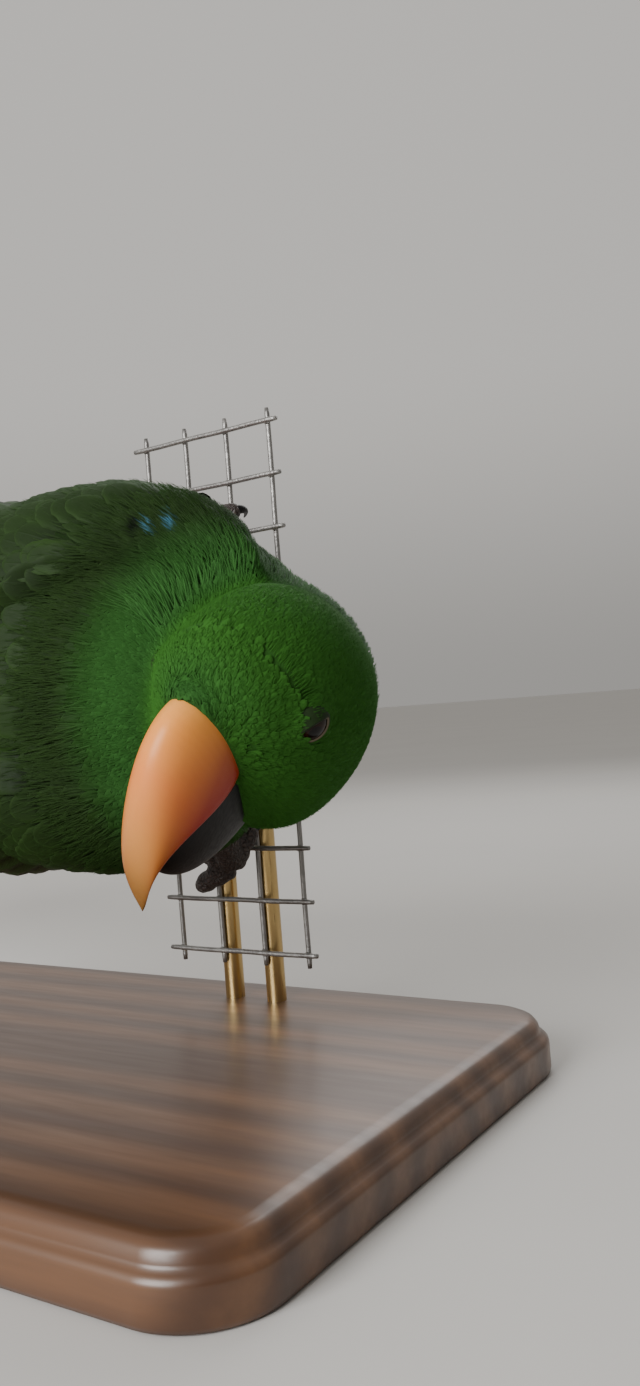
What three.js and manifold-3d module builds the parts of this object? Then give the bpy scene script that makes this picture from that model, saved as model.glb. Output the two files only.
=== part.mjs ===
// A male eclectus parrot, life size, clinging sideways to a short cut of welded wire mesh on a stand.
// It hangs with its breast to the mesh and its tail to one side, and looks back over its shoulder.
import * as THREE from 'three';
import { mergeVertices } from 'three/addons/utils/BufferGeometryUtils.js';
import Module from 'manifold-3d';

const wasm = await Module();
wasm.setup();

// Lengths are millimetres. The origin is the middle of the base's underside, +Z is up, the mesh stands
// along X behind the bird, and the bird's breast points along +X with its back towards -Y.
const GAP = 0.3;
// A cut between two faceted forms is wider, so that GAP is left between their facets
const CUT = 0.54;
const DEGREE = Math.PI / 180;

// The stand and the cut of mesh
const BASE = { length: 206, width: 128, height: 12, corner: 16, edge: 1.5 };
const WIRE = { pitch: 12.7, radius: 0.62, columns: 4, rows: 11, stub: 3.2, sides: 6 };
const MESH = { left: 9.1, bottom: 24.5, y: 44 };
const ROD = { radius: 2.4, top: 112, sink: 4, sides: 12 };
const CLIP = { wall: 1.5, height: 5, z: [69, 107.1] };

// The bird: its trunk's middle, and how far its tail leans towards the mesh
const BODY = { x: 5, y: 3.5, z: 92, lean: 4 };
// Stations along the trunk: x, half width, height of the back, depth of the belly
const TRUNK = [
  [76, 9, -3, 14],
  [71, 16.5, 2, 20],
  [62, 25.5, 9, 26],
  [46, 34, 24, 31],
  [20, 35.2, 33.6, 33.5],
  [-10, 31.2, 32, 34],
  [-40, 27.4, 27.4, 30],
  [-66, 21.7, 19.6, 22],
  [-88, 14, 12, 14],
  [-101, 9.5, 7.5, 9],
];
// The folded wings follow the trunk, then run on above the tail: x, half width, height, depth
const WING_BED = [
  ...TRUNK.slice(0, 8),
  [-92, 19.5, 13.5, 17],
  [-130, 20, 10, 14],
  [-186, 22, 8.5, 12],
];
// The folded wing's lower and upper edge, in degrees round the trunk from the spine
const WING_EDGES = [
  [70, 88, 68],
  [58, 102, 47],
  [30, 108, 25],
  [0, 106, 14],
  [-30, 99, 9],
  [-60, 86, 8],
  [-90, 73, 12],
  [-130, 62, 26],
  [-183, 46, 36],
];
// The arm with its small coverts is one thick form, from which the tiers of feathers run back
const ARM = { front: 70, rear: -3, narrowing: 10, lift: 0.7, edge: 0.7, thickness: 4, rearThickness: 3 };
// Each tier, from the feather on the low edge to the one nearest the spine: the tips' x, the roots'
// x, half widths, the first feather's place above the low edge and the spacing, both at the front
// and at the rear, the height over the bed at root and tip, and the lowest feather's share of it
const FEATHER = { thickness: 0.5, tightest: 1.8, fromSpine: 1.3 };
const TIERS = {
  primaries: {
    tips: [-171, -182, -183, -171, -156, -140, -125], pitch: 1.15,
    root: 8, half: [3.6, 4.1], first: [3.6, 3.8], spacing: [4.6, 2.6], from: 20, to: -120, height: [0, 0.2],
    lowest: 1,
    columns: 2, rows: 7,
  },
  secondaries: {
    tips: [-102, -95, -87, -78, -68], pitch: 0.95,
    root: 6, half: [5.4, 7], first: [20, 10.5], spacing: [7, 2.9], from: 20, to: -90, height: [0.2, 4.9],
    lowest: 1,
    columns: 3, rows: 6,
  },
  coverts: {
    tips: [-14, -19, -22, -24, -25, -25], pitch: 0.95,
    root: 24, half: [5.4, 6.6], first: [8, 6], spacing: [7.4, 5.8], from: 20, to: -25, height: [0, 5.6],
    lowest: 0.45,
    columns: 3, rows: 4,
  },
};
const TAIL = {
  root: -98, tip: -222, rounding: 0.8, tipHalf: 28, rootSpacing: 1.5, pairs: 6, half: 8.4, lap: 3, pitch: 0.9, sag: 3,
  pad: { from: 6, middle: -7, to: -20, radius: 6, width: 1.5, depth: 0.75 },
};

// The head, turned to look out over the back: its middle and its three axes in the part's frame
const HEAD = new THREE.Vector3(76, -7, 84.2);
const HEAD_AXES = {
  forward: new THREE.Vector3(-0.045, -0.957, -0.287),
  left: new THREE.Vector3(0.918, 0.073, -0.389),
  up: new THREE.Vector3(0.393, -0.281, 0.875),
};
// Stations along the skull: forward, half width, crown, throat
const SKULL = [
  [-21, 10.5, 9, 13.5],
  [-16, 16, 16, 20],
  [-8, 19.5, 21.5, 24.5],
  [1, 19.7, 22.5, 25],
  [8, 18.3, 20.5, 23.3],
  [13.7, 15.4, 16.6, 19],
  [17.6, 11.7, 12.2, 14],
  [20, 7.3, 7.8, 7.8],
];
const FACE_SLOPE = 0.36;
// Each eye: the middle of its opening and the way it looks, for the left side
const EYE = {
  opening: new THREE.Vector3(10, 17.7, 4.7),
  gaze: new THREE.Vector3(0.45, 0.86, -0.2).normalize(),
  radius: 4.2,
  lid: 3.1,
  lidWall: 0.9,
  brow: 2.1,
};
const NECK = {
  parting: 52, from: [42, 0, -4], bend: [61, -2, -9], nape: [-9, 0, -5], fromRadius: 25, toRadius: 17.5, sides: 18,
};

// The bill in the head's axes, as the curves of its ridge and its cutting edge: forward, up
const RIDGE = [[20, 9.7], [36.2, 10.5], [37, -14.8], [31.8, -28.9]];
const CUTTING_EDGE = [[16.5, -2.1], [19.4, -11.1], [39.3, -10.5], [31.5, -28.4]];
const LOWER_EDGE = [[8.8, -6.8], [17.5, -9.3], [27.8, -11.7], [30.4, -18.4]];
const CHIN = [[6.8, -23.4], [15.6, -27.8], [25.4, -27.3], [30.6, -19.6]];
const BILL = { halfWidth: 7.5, sides: 14, steps: 11, lowerHalfWidth: 6.6 };

// The legs and feet
const LEG = { thigh: 15, ankle: 7.5, shin: 3.5, sides: 16 };
const TOE = { knuckle: 3.1, tip: 2.1, arch: 1.6, sides: 8, steps: 6 };
const CLAW = { radius: 1.1, sides: 6, steps: 5 };

// Smooth values through stations whose first entry falls steadily
function along(stations, x, column) {
  const last = stations.length - 1;
  let i = 0;
  while (i < last - 1 && (stations[i + 1][0] - x) * (stations[last][0] - stations[0][0]) < 0) i += 1;
  const [a, b] = [stations[i], stations[i + 1]];
  const before = stations[Math.max(i - 1, 0)];
  const after = stations[Math.min(i + 2, last)];
  const t = THREE.MathUtils.clamp((x - a[0]) / (b[0] - a[0]), 0, 1);
  const step = b[0] - a[0];
  const slopeA = ((b[column] - before[column]) / (b[0] - before[0])) * step;
  const slopeB = ((after[column] - a[column]) / (after[0] - a[0])) * step;
  const t2 = t * t;
  const t3 = t2 * t;
  return (2 * t3 - 3 * t2 + 1) * a[column] + (t3 - 2 * t2 + t) * slopeA
    + (3 * t2 - 2 * t3) * b[column] + (t3 - t2) * slopeB;
}

// A closed skin over rings of points that go round the same way, with a point closing each end
function loft(rings) {
  const around = rings[0].length;
  const points = rings.flat();
  const centre = (ring) => ring.reduce((sum, p) => sum.add(p), new THREE.Vector3()).divideScalar(around);
  const faces = [];
  for (let i = 0; i < rings.length - 1; i += 1) {
    for (let j = 0; j < around; j += 1) {
      const next = (j + 1) % around;
      const [a, b, c, d] = [i * around + j, i * around + next, (i + 1) * around + next, (i + 1) * around + j];
      faces.push(a, b, c, a, c, d);
    }
  }
  const ends = [[0, true], [rings.length - 1, false]];
  ends.forEach(([row, first]) => {
    const pole = points.length;
    points.push(centre(rings[row]));
    for (let j = 0; j < around; j += 1) {
      const [a, b] = [row * around + j, row * around + ((j + 1) % around)];
      faces.push(...(first ? [pole, b, a] : [pole, a, b]));
    }
  });
  return facingOut(points, faces);
}

// The geometry of some faces, turned so that they point outwards
function facingOut(points, faces) {
  let volume = 0;
  for (let i = 0; i < faces.length; i += 3) {
    const [a, b, c] = [points[faces[i]], points[faces[i + 1]], points[faces[i + 2]]];
    volume += a.dot(b.clone().cross(c));
  }
  if (volume < 0) faces.reverse();
  const geometry = new THREE.BufferGeometry();
  geometry.setFromPoints(points);
  geometry.setIndex(faces);
  return geometry;
}

// A round bar along a curve, with a radius for each place along it from 0 to 1
function bar(points, radiusAt, steps, sides, grow = 0) {
  const curve = new THREE.CatmullRomCurve3(points);
  const frames = curve.computeFrenetFrames(steps, false);
  const rings = [];
  for (let i = 0; i <= steps; i += 1) {
    const reach = i === 0 ? -grow : i === steps ? grow : 0;
    const centre = curve.getPointAt(i / steps).addScaledVector(frames.tangents[i], reach);
    const radius = radiusAt(i / steps) + grow;
    const ring = [];
    for (let j = 0; j < sides; j += 1) {
      const angle = (2 * Math.PI * j) / sides;
      ring.push(centre.clone()
        .addScaledVector(frames.normals[i], radius * Math.cos(angle))
        .addScaledVector(frames.binormals[i], radius * Math.sin(angle)));
    }
    rings.push(ring);
  }
  return loft(rings);
}

// A radius that rounds off the end of a bar, and its start if asked
const rounded = (radius, t, end, start = 0) => {
  if (t > 1 - end) return radius * Math.sqrt(Math.max(0.25, 1 - ((t - 1 + end) / end) ** 2));
  if (t < start) return radius * Math.sqrt(Math.max(0.25, 1 - ((start - t) / start) ** 2));
  return radius;
};

// Closed meshes as solids that can be joined and cut, and back
function solid(geometry, matrix = new THREE.Matrix4()) {
  const plain = geometry.clone().applyMatrix4(matrix);
  ['normal', 'uv'].forEach((name) => plain.deleteAttribute(name));
  const merged = mergeVertices(plain, 1e-4);
  return new wasm.Manifold(new wasm.Mesh({
    numProp: 3,
    vertProperties: new Float32Array(merged.attributes.position.array),
    triVerts: new Uint32Array(merged.index.array),
  }));
}

function largest(body) {
  return body.decompose().reduce((best, piece) => (piece.volume() > best.volume() ? piece : best));
}

function geometryOf(body) {
  const mesh = largest(body).getMesh();
  const geometry = new THREE.BufferGeometry();
  geometry.setAttribute('position', new THREE.BufferAttribute(new Float32Array(mesh.vertProperties), 3));
  geometry.setIndex(new THREE.BufferAttribute(new Uint32Array(mesh.triVerts), 1));
  geometry.computeVertexNormals();
  return geometry;
}

const join = (bodies) => bodies.reduce((sum, body) => sum.add(body));

function named(name, geometry, look) {
  const mesh = new THREE.Mesh(geometry, new THREE.MeshStandardMaterial(look));
  mesh.name = name;
  return mesh;
}

const LOOKS = {
  green: { color: 0x3f7a2a, roughness: 0.75, metalness: 0 },
  wing: { color: 0x35561f, roughness: 0.7, metalness: 0 },
  orange: { color: 0xe07a35, roughness: 0.35, metalness: 0 },
  black: { color: 0x1b1b1d, roughness: 0.4, metalness: 0 },
  scaly: { color: 0x6d6a66, roughness: 0.8, metalness: 0 },
  eye: { color: 0x1a0f08, roughness: 0.1, metalness: 0 },
  steel: { color: 0x8d8c88, roughness: 0.45, metalness: 0.8 },
  brass: { color: 0xb08d4a, roughness: 0.35, metalness: 1 },
  wood: { color: 0x5a3a22, roughness: 0.55, metalness: 0 },
};

// A point on the trunk or on the wings' bed: x along it, an angle from the spine (positive to the
// bird's left), and a height above the surface
function onBody(stations, x, degrees, height) {
  const angle = degrees * DEGREE;
  const rise = Math.cos(angle);
  const side = Math.sin(angle);
  const half = along(stations, x, 1) + height;
  const depth = (rise > 0 ? along(stations, x, 2) : along(stations, x, 3)) + height;
  const squareness = 2 / 2.25;
  return new THREE.Vector3(
    x,
    half * Math.sign(side) * Math.abs(side) ** squareness,
    depth * Math.sign(rise) * Math.abs(rise) ** squareness,
  );
}

function trunk(grow = 0) {
  const rings = [];
  const sides = 28;
  const steps = 16;
  const [front, rear] = [TRUNK[0][0], TRUNK[TRUNK.length - 1][0]];
  for (let i = 0; i <= steps; i += 1) {
    const t = 0.5 - 0.5 * Math.cos((Math.PI * i) / steps);
    const x = front + (rear - front) * t;
    const reach = i === 0 ? grow : i === steps ? -grow : 0;
    const ring = [];
    for (let j = 0; j < sides; j += 1) {
      const point = onBody(TRUNK, x, (360 * j) / sides, grow);
      point.x += reach;
      ring.push(point);
    }
    rings.push(ring);
  }
  return loft(rings);
}

// A smooth skull whose stations run from the nape to the bill
function skull(grow = 0) {
  const rings = [];
  const sides = 28;
  const steps = 16;
  const [back, front] = [SKULL[0][0], SKULL[SKULL.length - 1][0]];
  for (let i = 0; i <= steps; i += 1) {
    const t = 0.5 - 0.5 * Math.cos((Math.PI * i) / steps);
    const forward = back + (front - back) * t;
    const reach = i === 0 ? -grow : i === steps ? grow : 0;
    const ring = [];
    for (let j = 0; j < sides; j += 1) {
      const angle = (2 * Math.PI * j) / sides;
      const depth = Math.cos(angle) > 0 ? along(SKULL, forward, 2) : along(SKULL, forward, 3);
      const height = (depth + grow) * Math.cos(angle);
      const slope = FACE_SLOPE * THREE.MathUtils.smoothstep(forward, 0, front);
      ring.push(new THREE.Vector3(
        forward + reach + slope * height,
        (along(SKULL, forward, 1) + grow) * Math.sin(angle),
        height,
      ));
    }
    rings.push(ring);
  }
  return loft(rings);
}

// One half of the bill: sections between an upper and a lower curve, rounded above or below
function bill(upperCurve, lowerCurve, halfWidthAt, grow, hollow) {
  const curve = (points) => new THREE.CubicBezierCurve3(
    ...points.map(([forward, up]) => new THREE.Vector3(forward, 0, up)),
  );
  const [upper, lower] = [curve(upperCurve), curve(lowerCurve)];
  const rings = [];
  for (let i = 0; i <= BILL.steps; i += 1) {
    const t = i / BILL.steps;
    const reach = new THREE.Vector3(i === 0 ? -grow : i === BILL.steps ? grow : 0, 0, 0);
    const top = upper.getPoint(t).add(reach);
    const bottom = lower.getPoint(t).add(reach);
    const rise = top.clone().sub(bottom);
    const length = rise.length();
    rise.normalize();
    const half = halfWidthAt(t) + grow;
    const ring = [];
    for (let j = 0; j < BILL.sides; j += 1) {
      const angle = (2 * Math.PI * (j + 0.5)) / BILL.sides;
      const round = Math.cos(angle);
      const vault = hollow === 'below' ? Math.max(round, -0.12) : Math.min(round, 0.12);
      const height = (hollow === 'below' ? 0 : length) + vault * length + grow * Math.sign(vault);
      ring.push(bottom.clone()
        .addScaledVector(rise, height)
        .add(new THREE.Vector3(0, half * Math.sin(angle), 0)));
    }
    rings.push(ring);
  }
  return loft(rings);
}

const upperBillWidth = (t) => BILL.halfWidth * Math.max(0.05, 1 - t ** 1.9) ** 0.72;
const lowerBillWidth = (t) => BILL.lowerHalfWidth * Math.sqrt(Math.max(0.09, 1 - t ** 3));
const upperBill = (grow = 0) => bill(RIDGE, CUTTING_EDGE, upperBillWidth, grow, 'below');
const lowerBill = (grow = 0) => bill(LOWER_EDGE, CHIN, lowerBillWidth, grow, 'above');

// A point on an eye's line of sight, a distance out from the ball's middle
function eyePoint(side, distance) {
  const point = EYE.opening.clone().addScaledVector(EYE.gaze, distance - EYE.radius + GAP);
  return point.setY(side * point.y);
}

function eyeball(side, radius) {
  const ball = new THREE.SphereGeometry(radius, 14, 10);
  return ball.translate(...eyePoint(side, 0).toArray());
}

// The lids, a ring of bare skin round the eye
function lids(side, grow = 0) {
  const section = [];
  for (let i = 0; i <= 6; i += 1) {
    const angle = (2 * Math.PI * (i % 6)) / 6;
    const wall = EYE.lidWall + grow;
    section.push(new THREE.Vector2(EYE.lid + wall * Math.cos(angle), wall * Math.sin(angle)));
  }
  const ring = new THREE.LatheGeometry(section, 14);
  const gaze = EYE.gaze.clone().setY(side * EYE.gaze.y);
  ring.applyQuaternion(new THREE.Quaternion().setFromUnitVectors(new THREE.Vector3(0, 1, 0), gaze));
  const reach = Math.sqrt(EYE.radius ** 2 - EYE.lid ** 2) + 0.4;
  return ring.translate(...eyePoint(side, reach).toArray());
}

// The brow, a low fold over the upper lid
function brow(side) {
  const fold = new THREE.SphereGeometry(EYE.brow, 8, 6).scale(2, 1, 1);
  return fold.translate(...eyePoint(side, EYE.radius / 2).toArray()).translate(0, 0, 0.7 * EYE.radius);
}

// Places of the groups
const bird = new THREE.Group();
bird.position.set(BODY.x, BODY.y, BODY.z);
bird.rotation.set(Math.PI / 2, -BODY.lean * DEGREE, 0, 'XYZ');
bird.updateMatrixWorld(true);
const fromBird = bird.matrixWorld.clone();
const toBird = fromBird.clone().invert();

const head = new THREE.Group();
const headTurn = new THREE.Matrix4().makeBasis(
  HEAD_AXES.forward.clone().normalize(),
  HEAD_AXES.left.clone().normalize(),
  HEAD_AXES.up.clone().normalize(),
);
const headInBird = new THREE.Matrix4().extractRotation(toBird).multiply(headTurn);
head.quaternion.setFromRotationMatrix(headInBird);
head.position.copy(HEAD).applyMatrix4(toBird);
head.updateMatrix();
bird.add(head);

// Trunk, neck and head, parted by thin cuts
function headGeometry() {
  let body = solid(skull());
  [1, -1].forEach((side) => { body = join([body, solid(lids(side)), solid(brow(side))]); });
  [1, -1].forEach((side) => { body = body.subtract(solid(eyeball(side, EYE.radius + GAP))); });
  body = body.subtract(solid(upperBill(CUT))).subtract(solid(lowerBill(CUT)));
  return geometryOf(body);
}

// The trunk and neck as one form, which a thin cut across the shoulders parts
function trunkAndNeck(grow = 0) {
  const nape = new THREE.Vector3(...NECK.nape).applyMatrix4(head.matrix);
  const path = [new THREE.Vector3(...NECK.from), new THREE.Vector3(...NECK.bend), nape];
  const radius = (t) => THREE.MathUtils.lerp(NECK.fromRadius, NECK.toRadius, t);
  return solid(trunk(grow)).add(solid(bar(path, radius, 6, NECK.sides, grow)));
}

const slab = (from, to) => {
  const reach = 200;
  return solid(new THREE.BoxGeometry(to - from, reach, reach).translate((from + to) / 2, 0, 0));
};

// The room that the head and its bill take, a little larger than they are
const headRoom = () => join(
  [skull(CUT), upperBill(CUT), lowerBill(CUT), lids(-1, CUT)].map((piece) => solid(piece, head.matrix)),
);

function torsoGeometry() {
  const body = trunkAndNeck().intersect(slab(TAIL.tip, NECK.parting));
  return geometryOf(body.subtract(headRoom()));
}

function neckGeometry() {
  const body = trunkAndNeck().intersect(slab(NECK.parting + GAP, 2 * NECK.parting));
  return geometryOf(body.subtract(headRoom()));
}

// How wide a feather is along its length, from 0 at the root to 1 at the tip
function blade(t, base, shoulder) {
  const opening = THREE.MathUtils.lerp(base, 1, THREE.MathUtils.smoothstep(t, 0, 0.4));
  const rounding = Math.max(0, (t - shoulder) / (1 - shoulder));
  return opening * Math.sqrt(1 - 0.92 * rounding ** 2);
}

// One feather as a thin strip of rows and columns, split into triangles alike on both faces.
// place(t, share, up) gives the point at t along it, a share from -1 to 1 across it, and up a face.
function vane(rows, columns, place) {
  const points = [];
  const faces = [];
  const index = (row, column, face) => (row * columns + column) * 2 + face;
  for (let i = 0; i < rows; i += 1) {
    const t = 1 - (1 - i / (rows - 1)) ** 1.5;
    for (let j = 0; j < columns; j += 1) {
      const share = (2 * j) / (columns - 1) - 1;
      const half = FEATHER.thickness * (0.5 - 0.2 * t);
      points.push(place(t, share, -half), place(t, share, half));
    }
  }
  const quad = (a, b, c, d) => faces.push(a, b, c, a, c, d);
  for (let i = 0; i < rows - 1; i += 1) {
    for (let j = 0; j < columns - 1; j += 1) {
      quad(index(i, j, 1), index(i, j + 1, 1), index(i + 1, j + 1, 1), index(i + 1, j, 1));
      quad(index(i + 1, j + 1, 0), index(i, j + 1, 0), index(i, j, 0), index(i + 1, j, 0));
    }
    [[0, 1, 0], [columns - 1, 0, 1]].forEach(([j, near, far]) => {
      quad(index(i, j, near), index(i + 1, j, near), index(i + 1, j, far), index(i, j, far));
    });
  }
  for (let j = 0; j < columns - 1; j += 1) {
    [[0, 0, 1], [rows - 1, 1, 0]].forEach(([i, near, far]) => {
      quad(index(i, j, near), index(i, j + 1, near), index(i, j + 1, far), index(i, j, far));
    });
  }
  return facingOut(points, faces);
}

// A place on the wing: x along the bed, millimetres up from the low edge, and a height over the bed
function onWing(side, x, y, height) {
  const radius = (along(WING_BED, x, 1) + along(WING_BED, x, 2)) / 2;
  const degrees = Math.max(along(WING_EDGES, x, 1) - y / (radius * DEGREE), FEATHER.fromSpine);
  return onBody(WING_BED, x, side * degrees, ARM.lift + height);
}

function tierVanes(side, tier) {
  return tier.tips.map((tip, i) => {
    const share = i / (tier.tips.length - 1);
    const half = THREE.MathUtils.lerp(...tier.half, share);
    return vane(tier.rows, tier.columns, (t, across, up) => {
      const x = THREE.MathUtils.lerp(tier.root, tip, t);
      const rear = THREE.MathUtils.clamp((x - tier.from) / (tier.to - tier.from), 0, 1);
      const spacing = THREE.MathUtils.lerp(...tier.spacing, rear);
      const centre = THREE.MathUtils.lerp(...tier.first, rear) + spacing * i;
      const tilt = tier.pitch / Math.max(spacing, FEATHER.tightest);
      const y = across * half * blade(t, 0.7, 0.72);
      const rise = THREE.MathUtils.lerp(tier.lowest, 1, Math.min(1, 2 * share));
      const height = rise * THREE.MathUtils.lerp(...tier.height, THREE.MathUtils.smoothstep(t, 0, 0.4));
      return onWing(side, x, centre + y, height + tilt * (half - y) + up);
    });
  });
}

function armGeometry(side) {
  const rings = [];
  const steps = 12;
  const across = 9;
  for (let i = 0; i <= steps; i += 1) {
    const t = i / steps;
    const x = ARM.front + (ARM.rear - ARM.front) * t;
    const low = along(WING_EDGES, x, 1);
    const high = along(WING_EDGES, x, 2) + ARM.narrowing * THREE.MathUtils.smoothstep(t, 0.6, 1);
    const rise = THREE.MathUtils.lerp(ARM.thickness, ARM.rearThickness, THREE.MathUtils.smoothstep(t, 0.5, 1));
    const body = rise * Math.sqrt(Math.max(0.02, 1 - Math.max(0, 1 - 2.2 * t) ** 4));
    const outer = [];
    const inner = [];
    for (let j = 0; j <= across; j += 1) {
      const degrees = side * (low + ((high - low) * j) / across);
      const swell = ARM.edge + body * Math.sin((Math.PI * (j + 0.4)) / (across + 0.8));
      outer.push(onBody(WING_BED, x, degrees, ARM.lift + swell));
      inner.push(onBody(WING_BED, x, degrees, ARM.lift));
    }
    rings.push([...outer, ...inner.reverse()]);
  }
  return loft(rings);
}

function wingGeometry(side) {
  const vanes = Object.values(TIERS).flatMap((tier) => tierVanes(side, tier));
  const wing = join([armGeometry(side), ...vanes].map((piece) => solid(piece)));
  return geometryOf(wing.subtract(trunkAndNeck(CUT)).subtract(headRoom()));
}

// The tail: its fleshy root, six pairs of feathers fanned out with the middle pair on top, and short
// coverts over and under their roots
function tailVane(side, k) {
  const onTop = k === 0 && side > 0;
  return vane(6, 2, (t, across, up) => {
    const spacing = THREE.MathUtils.lerp(TAIL.rootSpacing, TAIL.tipHalf / TAIL.pairs, t);
    const y = across * TAIL.half * blade(t, 0.35, 0.8);
    const outward = Math.max(spacing * (k + 0.3) + y, onTop ? -TAIL.lap : GAP);
    const lift = TAIL.pitch * (k === 0 ? (onTop ? 1.6 : 0.7) : 0.5 * (y / spacing - k));
    const droop = TAIL.sag * (outward / TAIL.tipHalf) ** 2;
    const x = THREE.MathUtils.lerp(TAIL.root, TAIL.tip + TAIL.rounding * k ** 2, t);
    return new THREE.Vector3(x, side * outward, lift - droop + up);
  });
}

function tailGeometry() {
  const { from, middle, to, radius, width, depth } = TAIL.pad;
  const path = [from, middle, to].map((x) => new THREE.Vector3(TAIL.root + x, 0, 0));
  const pieces = [bar(path, (t) => rounded(radius, t, 0.5), 5, 12).scale(1, width, depth)];
  [1, -1].forEach((side) => {
    for (let k = 0; k < TAIL.pairs; k += 1) pieces.push(tailVane(side, k));
  });
  return geometryOf(join(pieces.map((piece) => solid(piece))).subtract(solid(trunk(CUT))));
}

// Legs and feet. The ankle and hip are in the bird's own axes, the foot's points on the mesh.
const FEET = {
  left: {
    hip: [8, 19, -16],
    ankle: [27, 31, -26],
    palm: [30, 38, 127.5],
    toes: [
      { end: [40.2, 39.8, 131.2], hook: [42, 44.6, 132.6] },
      { end: [38, 39.8, 121.5], hook: [39.6, 44.6, 119.6] },
      { end: [21.4, 39.8, 131.6], hook: [19.4, 44.6, 133.2] },
      { end: [22, 39.8, 121.5], hook: [19.8, 44.6, 119.8] },
    ],
  },
  right: {
    hip: [8, -19, -16],
    ankle: [30, -31, -25],
    palm: [31.5, 38, 46.5],
    toes: [
      { end: [19.8, 39.6, 40.8], hook: [17.4, 44.6, 41.2] },
      { end: [21.6, 39.6, 50.4], hook: [19.2, 44.6, 52.4] },
      { end: [37.8, 39.6, 55.4], hook: [39.4, 44.6, 57.4] },
      { end: [28.4, 39.6, 58.6], hook: [28, 44.6, 61] },
    ],
  },
};

// The top of a toe's arch, between the palm and the toe's end
const toeArch = (palm, end) => palm.clone().lerp(end, 0.55).add(new THREE.Vector3(0, -TOE.arch, 0));

function footBars(foot, grow = 0) {
  const ankle = new THREE.Vector3(...foot.ankle).applyMatrix4(fromBird);
  const palm = new THREE.Vector3(...foot.palm);
  const shin = palm.clone().lerp(ankle, 0.5);
  const bars = [bar([ankle, shin, palm], (t) => rounded(LEG.shin, t, 0.12, 0.1), 7, 10, grow)];
  foot.toes.forEach(({ end }) => {
    const tip = new THREE.Vector3(...end);
    const radius = (t) => rounded(THREE.MathUtils.lerp(TOE.knuckle, TOE.tip, t), t, 0.16, 0.12);
    bars.push(bar([palm, toeArch(palm, tip), tip], radius, TOE.steps, TOE.sides, grow));
  });
  return bars;
}

const footSolid = (foot, grow) => join(footBars(foot, grow).map((piece) => solid(piece)));

// A claw grows on from the end of its toe and hooks through the mesh
function clawGeometry(foot, toe) {
  const end = new THREE.Vector3(...toe.end);
  const hook = new THREE.Vector3(...toe.hook);
  const palm = new THREE.Vector3(...foot.palm);
  const outward = new THREE.CatmullRomCurve3([palm, toeArch(palm, end), end]).getTangentAt(1);
  const root = end.clone().addScaledVector(outward, 1.2 * GAP);
  const straight = root.clone().addScaledVector(outward, 0.9);
  const knuckle = root.clone().lerp(hook, 0.5).addScaledVector(outward, 1.5);
  return bar([root, straight, knuckle, hook], (t) => CLAW.radius * (1 - 0.8 * t ** 1.5), CLAW.steps, CLAW.sides);
}

function legGeometry(foot) {
  const hip = new THREE.Vector3(...foot.hip);
  const ankle = new THREE.Vector3(...foot.ankle);
  const knee = hip.clone().lerp(ankle, 0.5).add(new THREE.Vector3(0, 0, -2));
  const radius = (t) => rounded(THREE.MathUtils.lerp(LEG.thigh, LEG.ankle, t), t, 0.12, 0.1);
  let body = solid(bar([hip, knee, ankle], radius, 8, LEG.sides));
  body = body.subtract(trunkAndNeck(CUT));
  footBars(foot, CUT).forEach((piece) => { body = body.subtract(solid(piece, toBird)); });
  return geometryOf(body);
}

// The cut of welded mesh, one piece: upright wires with the cross wires welded on their near side
function meshGeometry() {
  const wires = [];
  const [columns, rows] = [WIRE.columns, WIRE.rows];
  const width = (columns - 1) * WIRE.pitch + 2 * WIRE.stub;
  const height = (rows - 1) * WIRE.pitch + 2 * WIRE.stub;
  const weld = 1.7 * WIRE.radius;
  for (let i = 0; i < columns; i += 1) {
    const upright = new THREE.CylinderGeometry(WIRE.radius, WIRE.radius, height, WIRE.sides);
    upright.rotateX(Math.PI / 2);
    upright.translate(MESH.left + i * WIRE.pitch, MESH.y, MESH.bottom + height / 2 - WIRE.stub);
    wires.push(solid(upright));
  }
  for (let i = 0; i < rows; i += 1) {
    const cross = new THREE.CylinderGeometry(WIRE.radius, WIRE.radius, width, WIRE.sides);
    cross.rotateZ(Math.PI / 2);
    cross.translate(MESH.left + width / 2 - WIRE.stub, MESH.y - weld, MESH.bottom + i * WIRE.pitch);
    wires.push(solid(cross));
  }
  return geometryOf(join(wires));
}

// The stand: a base board, two rods behind two of the upright wires, and two clips on each
const rodY = MESH.y + WIRE.radius + GAP + ROD.radius;
const rodColumns = [1, 2];

function baseGeometry() {
  const { length, width, height, corner, edge } = BASE;
  const outline = new THREE.Shape();
  const [x, y] = [length / 2 - edge, width / 2 - edge];
  outline.moveTo(-x + corner, -y);
  outline.lineTo(x - corner, -y);
  outline.absarc(x - corner, -y + corner, corner, -Math.PI / 2, 0);
  outline.absarc(x - corner, y - corner, corner, 0, Math.PI / 2);
  outline.absarc(-x + corner, y - corner, corner, Math.PI / 2, Math.PI);
  outline.absarc(-x + corner, -y + corner, corner, Math.PI, 1.5 * Math.PI);
  const board = new THREE.ExtrudeGeometry(outline, {
    depth: height - 2 * edge, bevelThickness: edge, bevelSize: edge, bevelSegments: 1, curveSegments: 4,
  });
  board.translate(0, 0, edge);
  let body = solid(board);
  rodColumns.forEach((column) => { body = body.subtract(solid(rodGeometry(column, GAP))); });
  return geometryOf(body);
}

function rodGeometry(column, grow = 0) {
  const bottom = BASE.height - ROD.sink - grow;
  const rod = new THREE.CylinderGeometry(ROD.radius + grow, ROD.radius + grow, ROD.top - bottom, ROD.sides);
  rod.rotateX(Math.PI / 2);
  return rod.translate(MESH.left + column * WIRE.pitch, rodY, (ROD.top + bottom) / 2);
}

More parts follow.
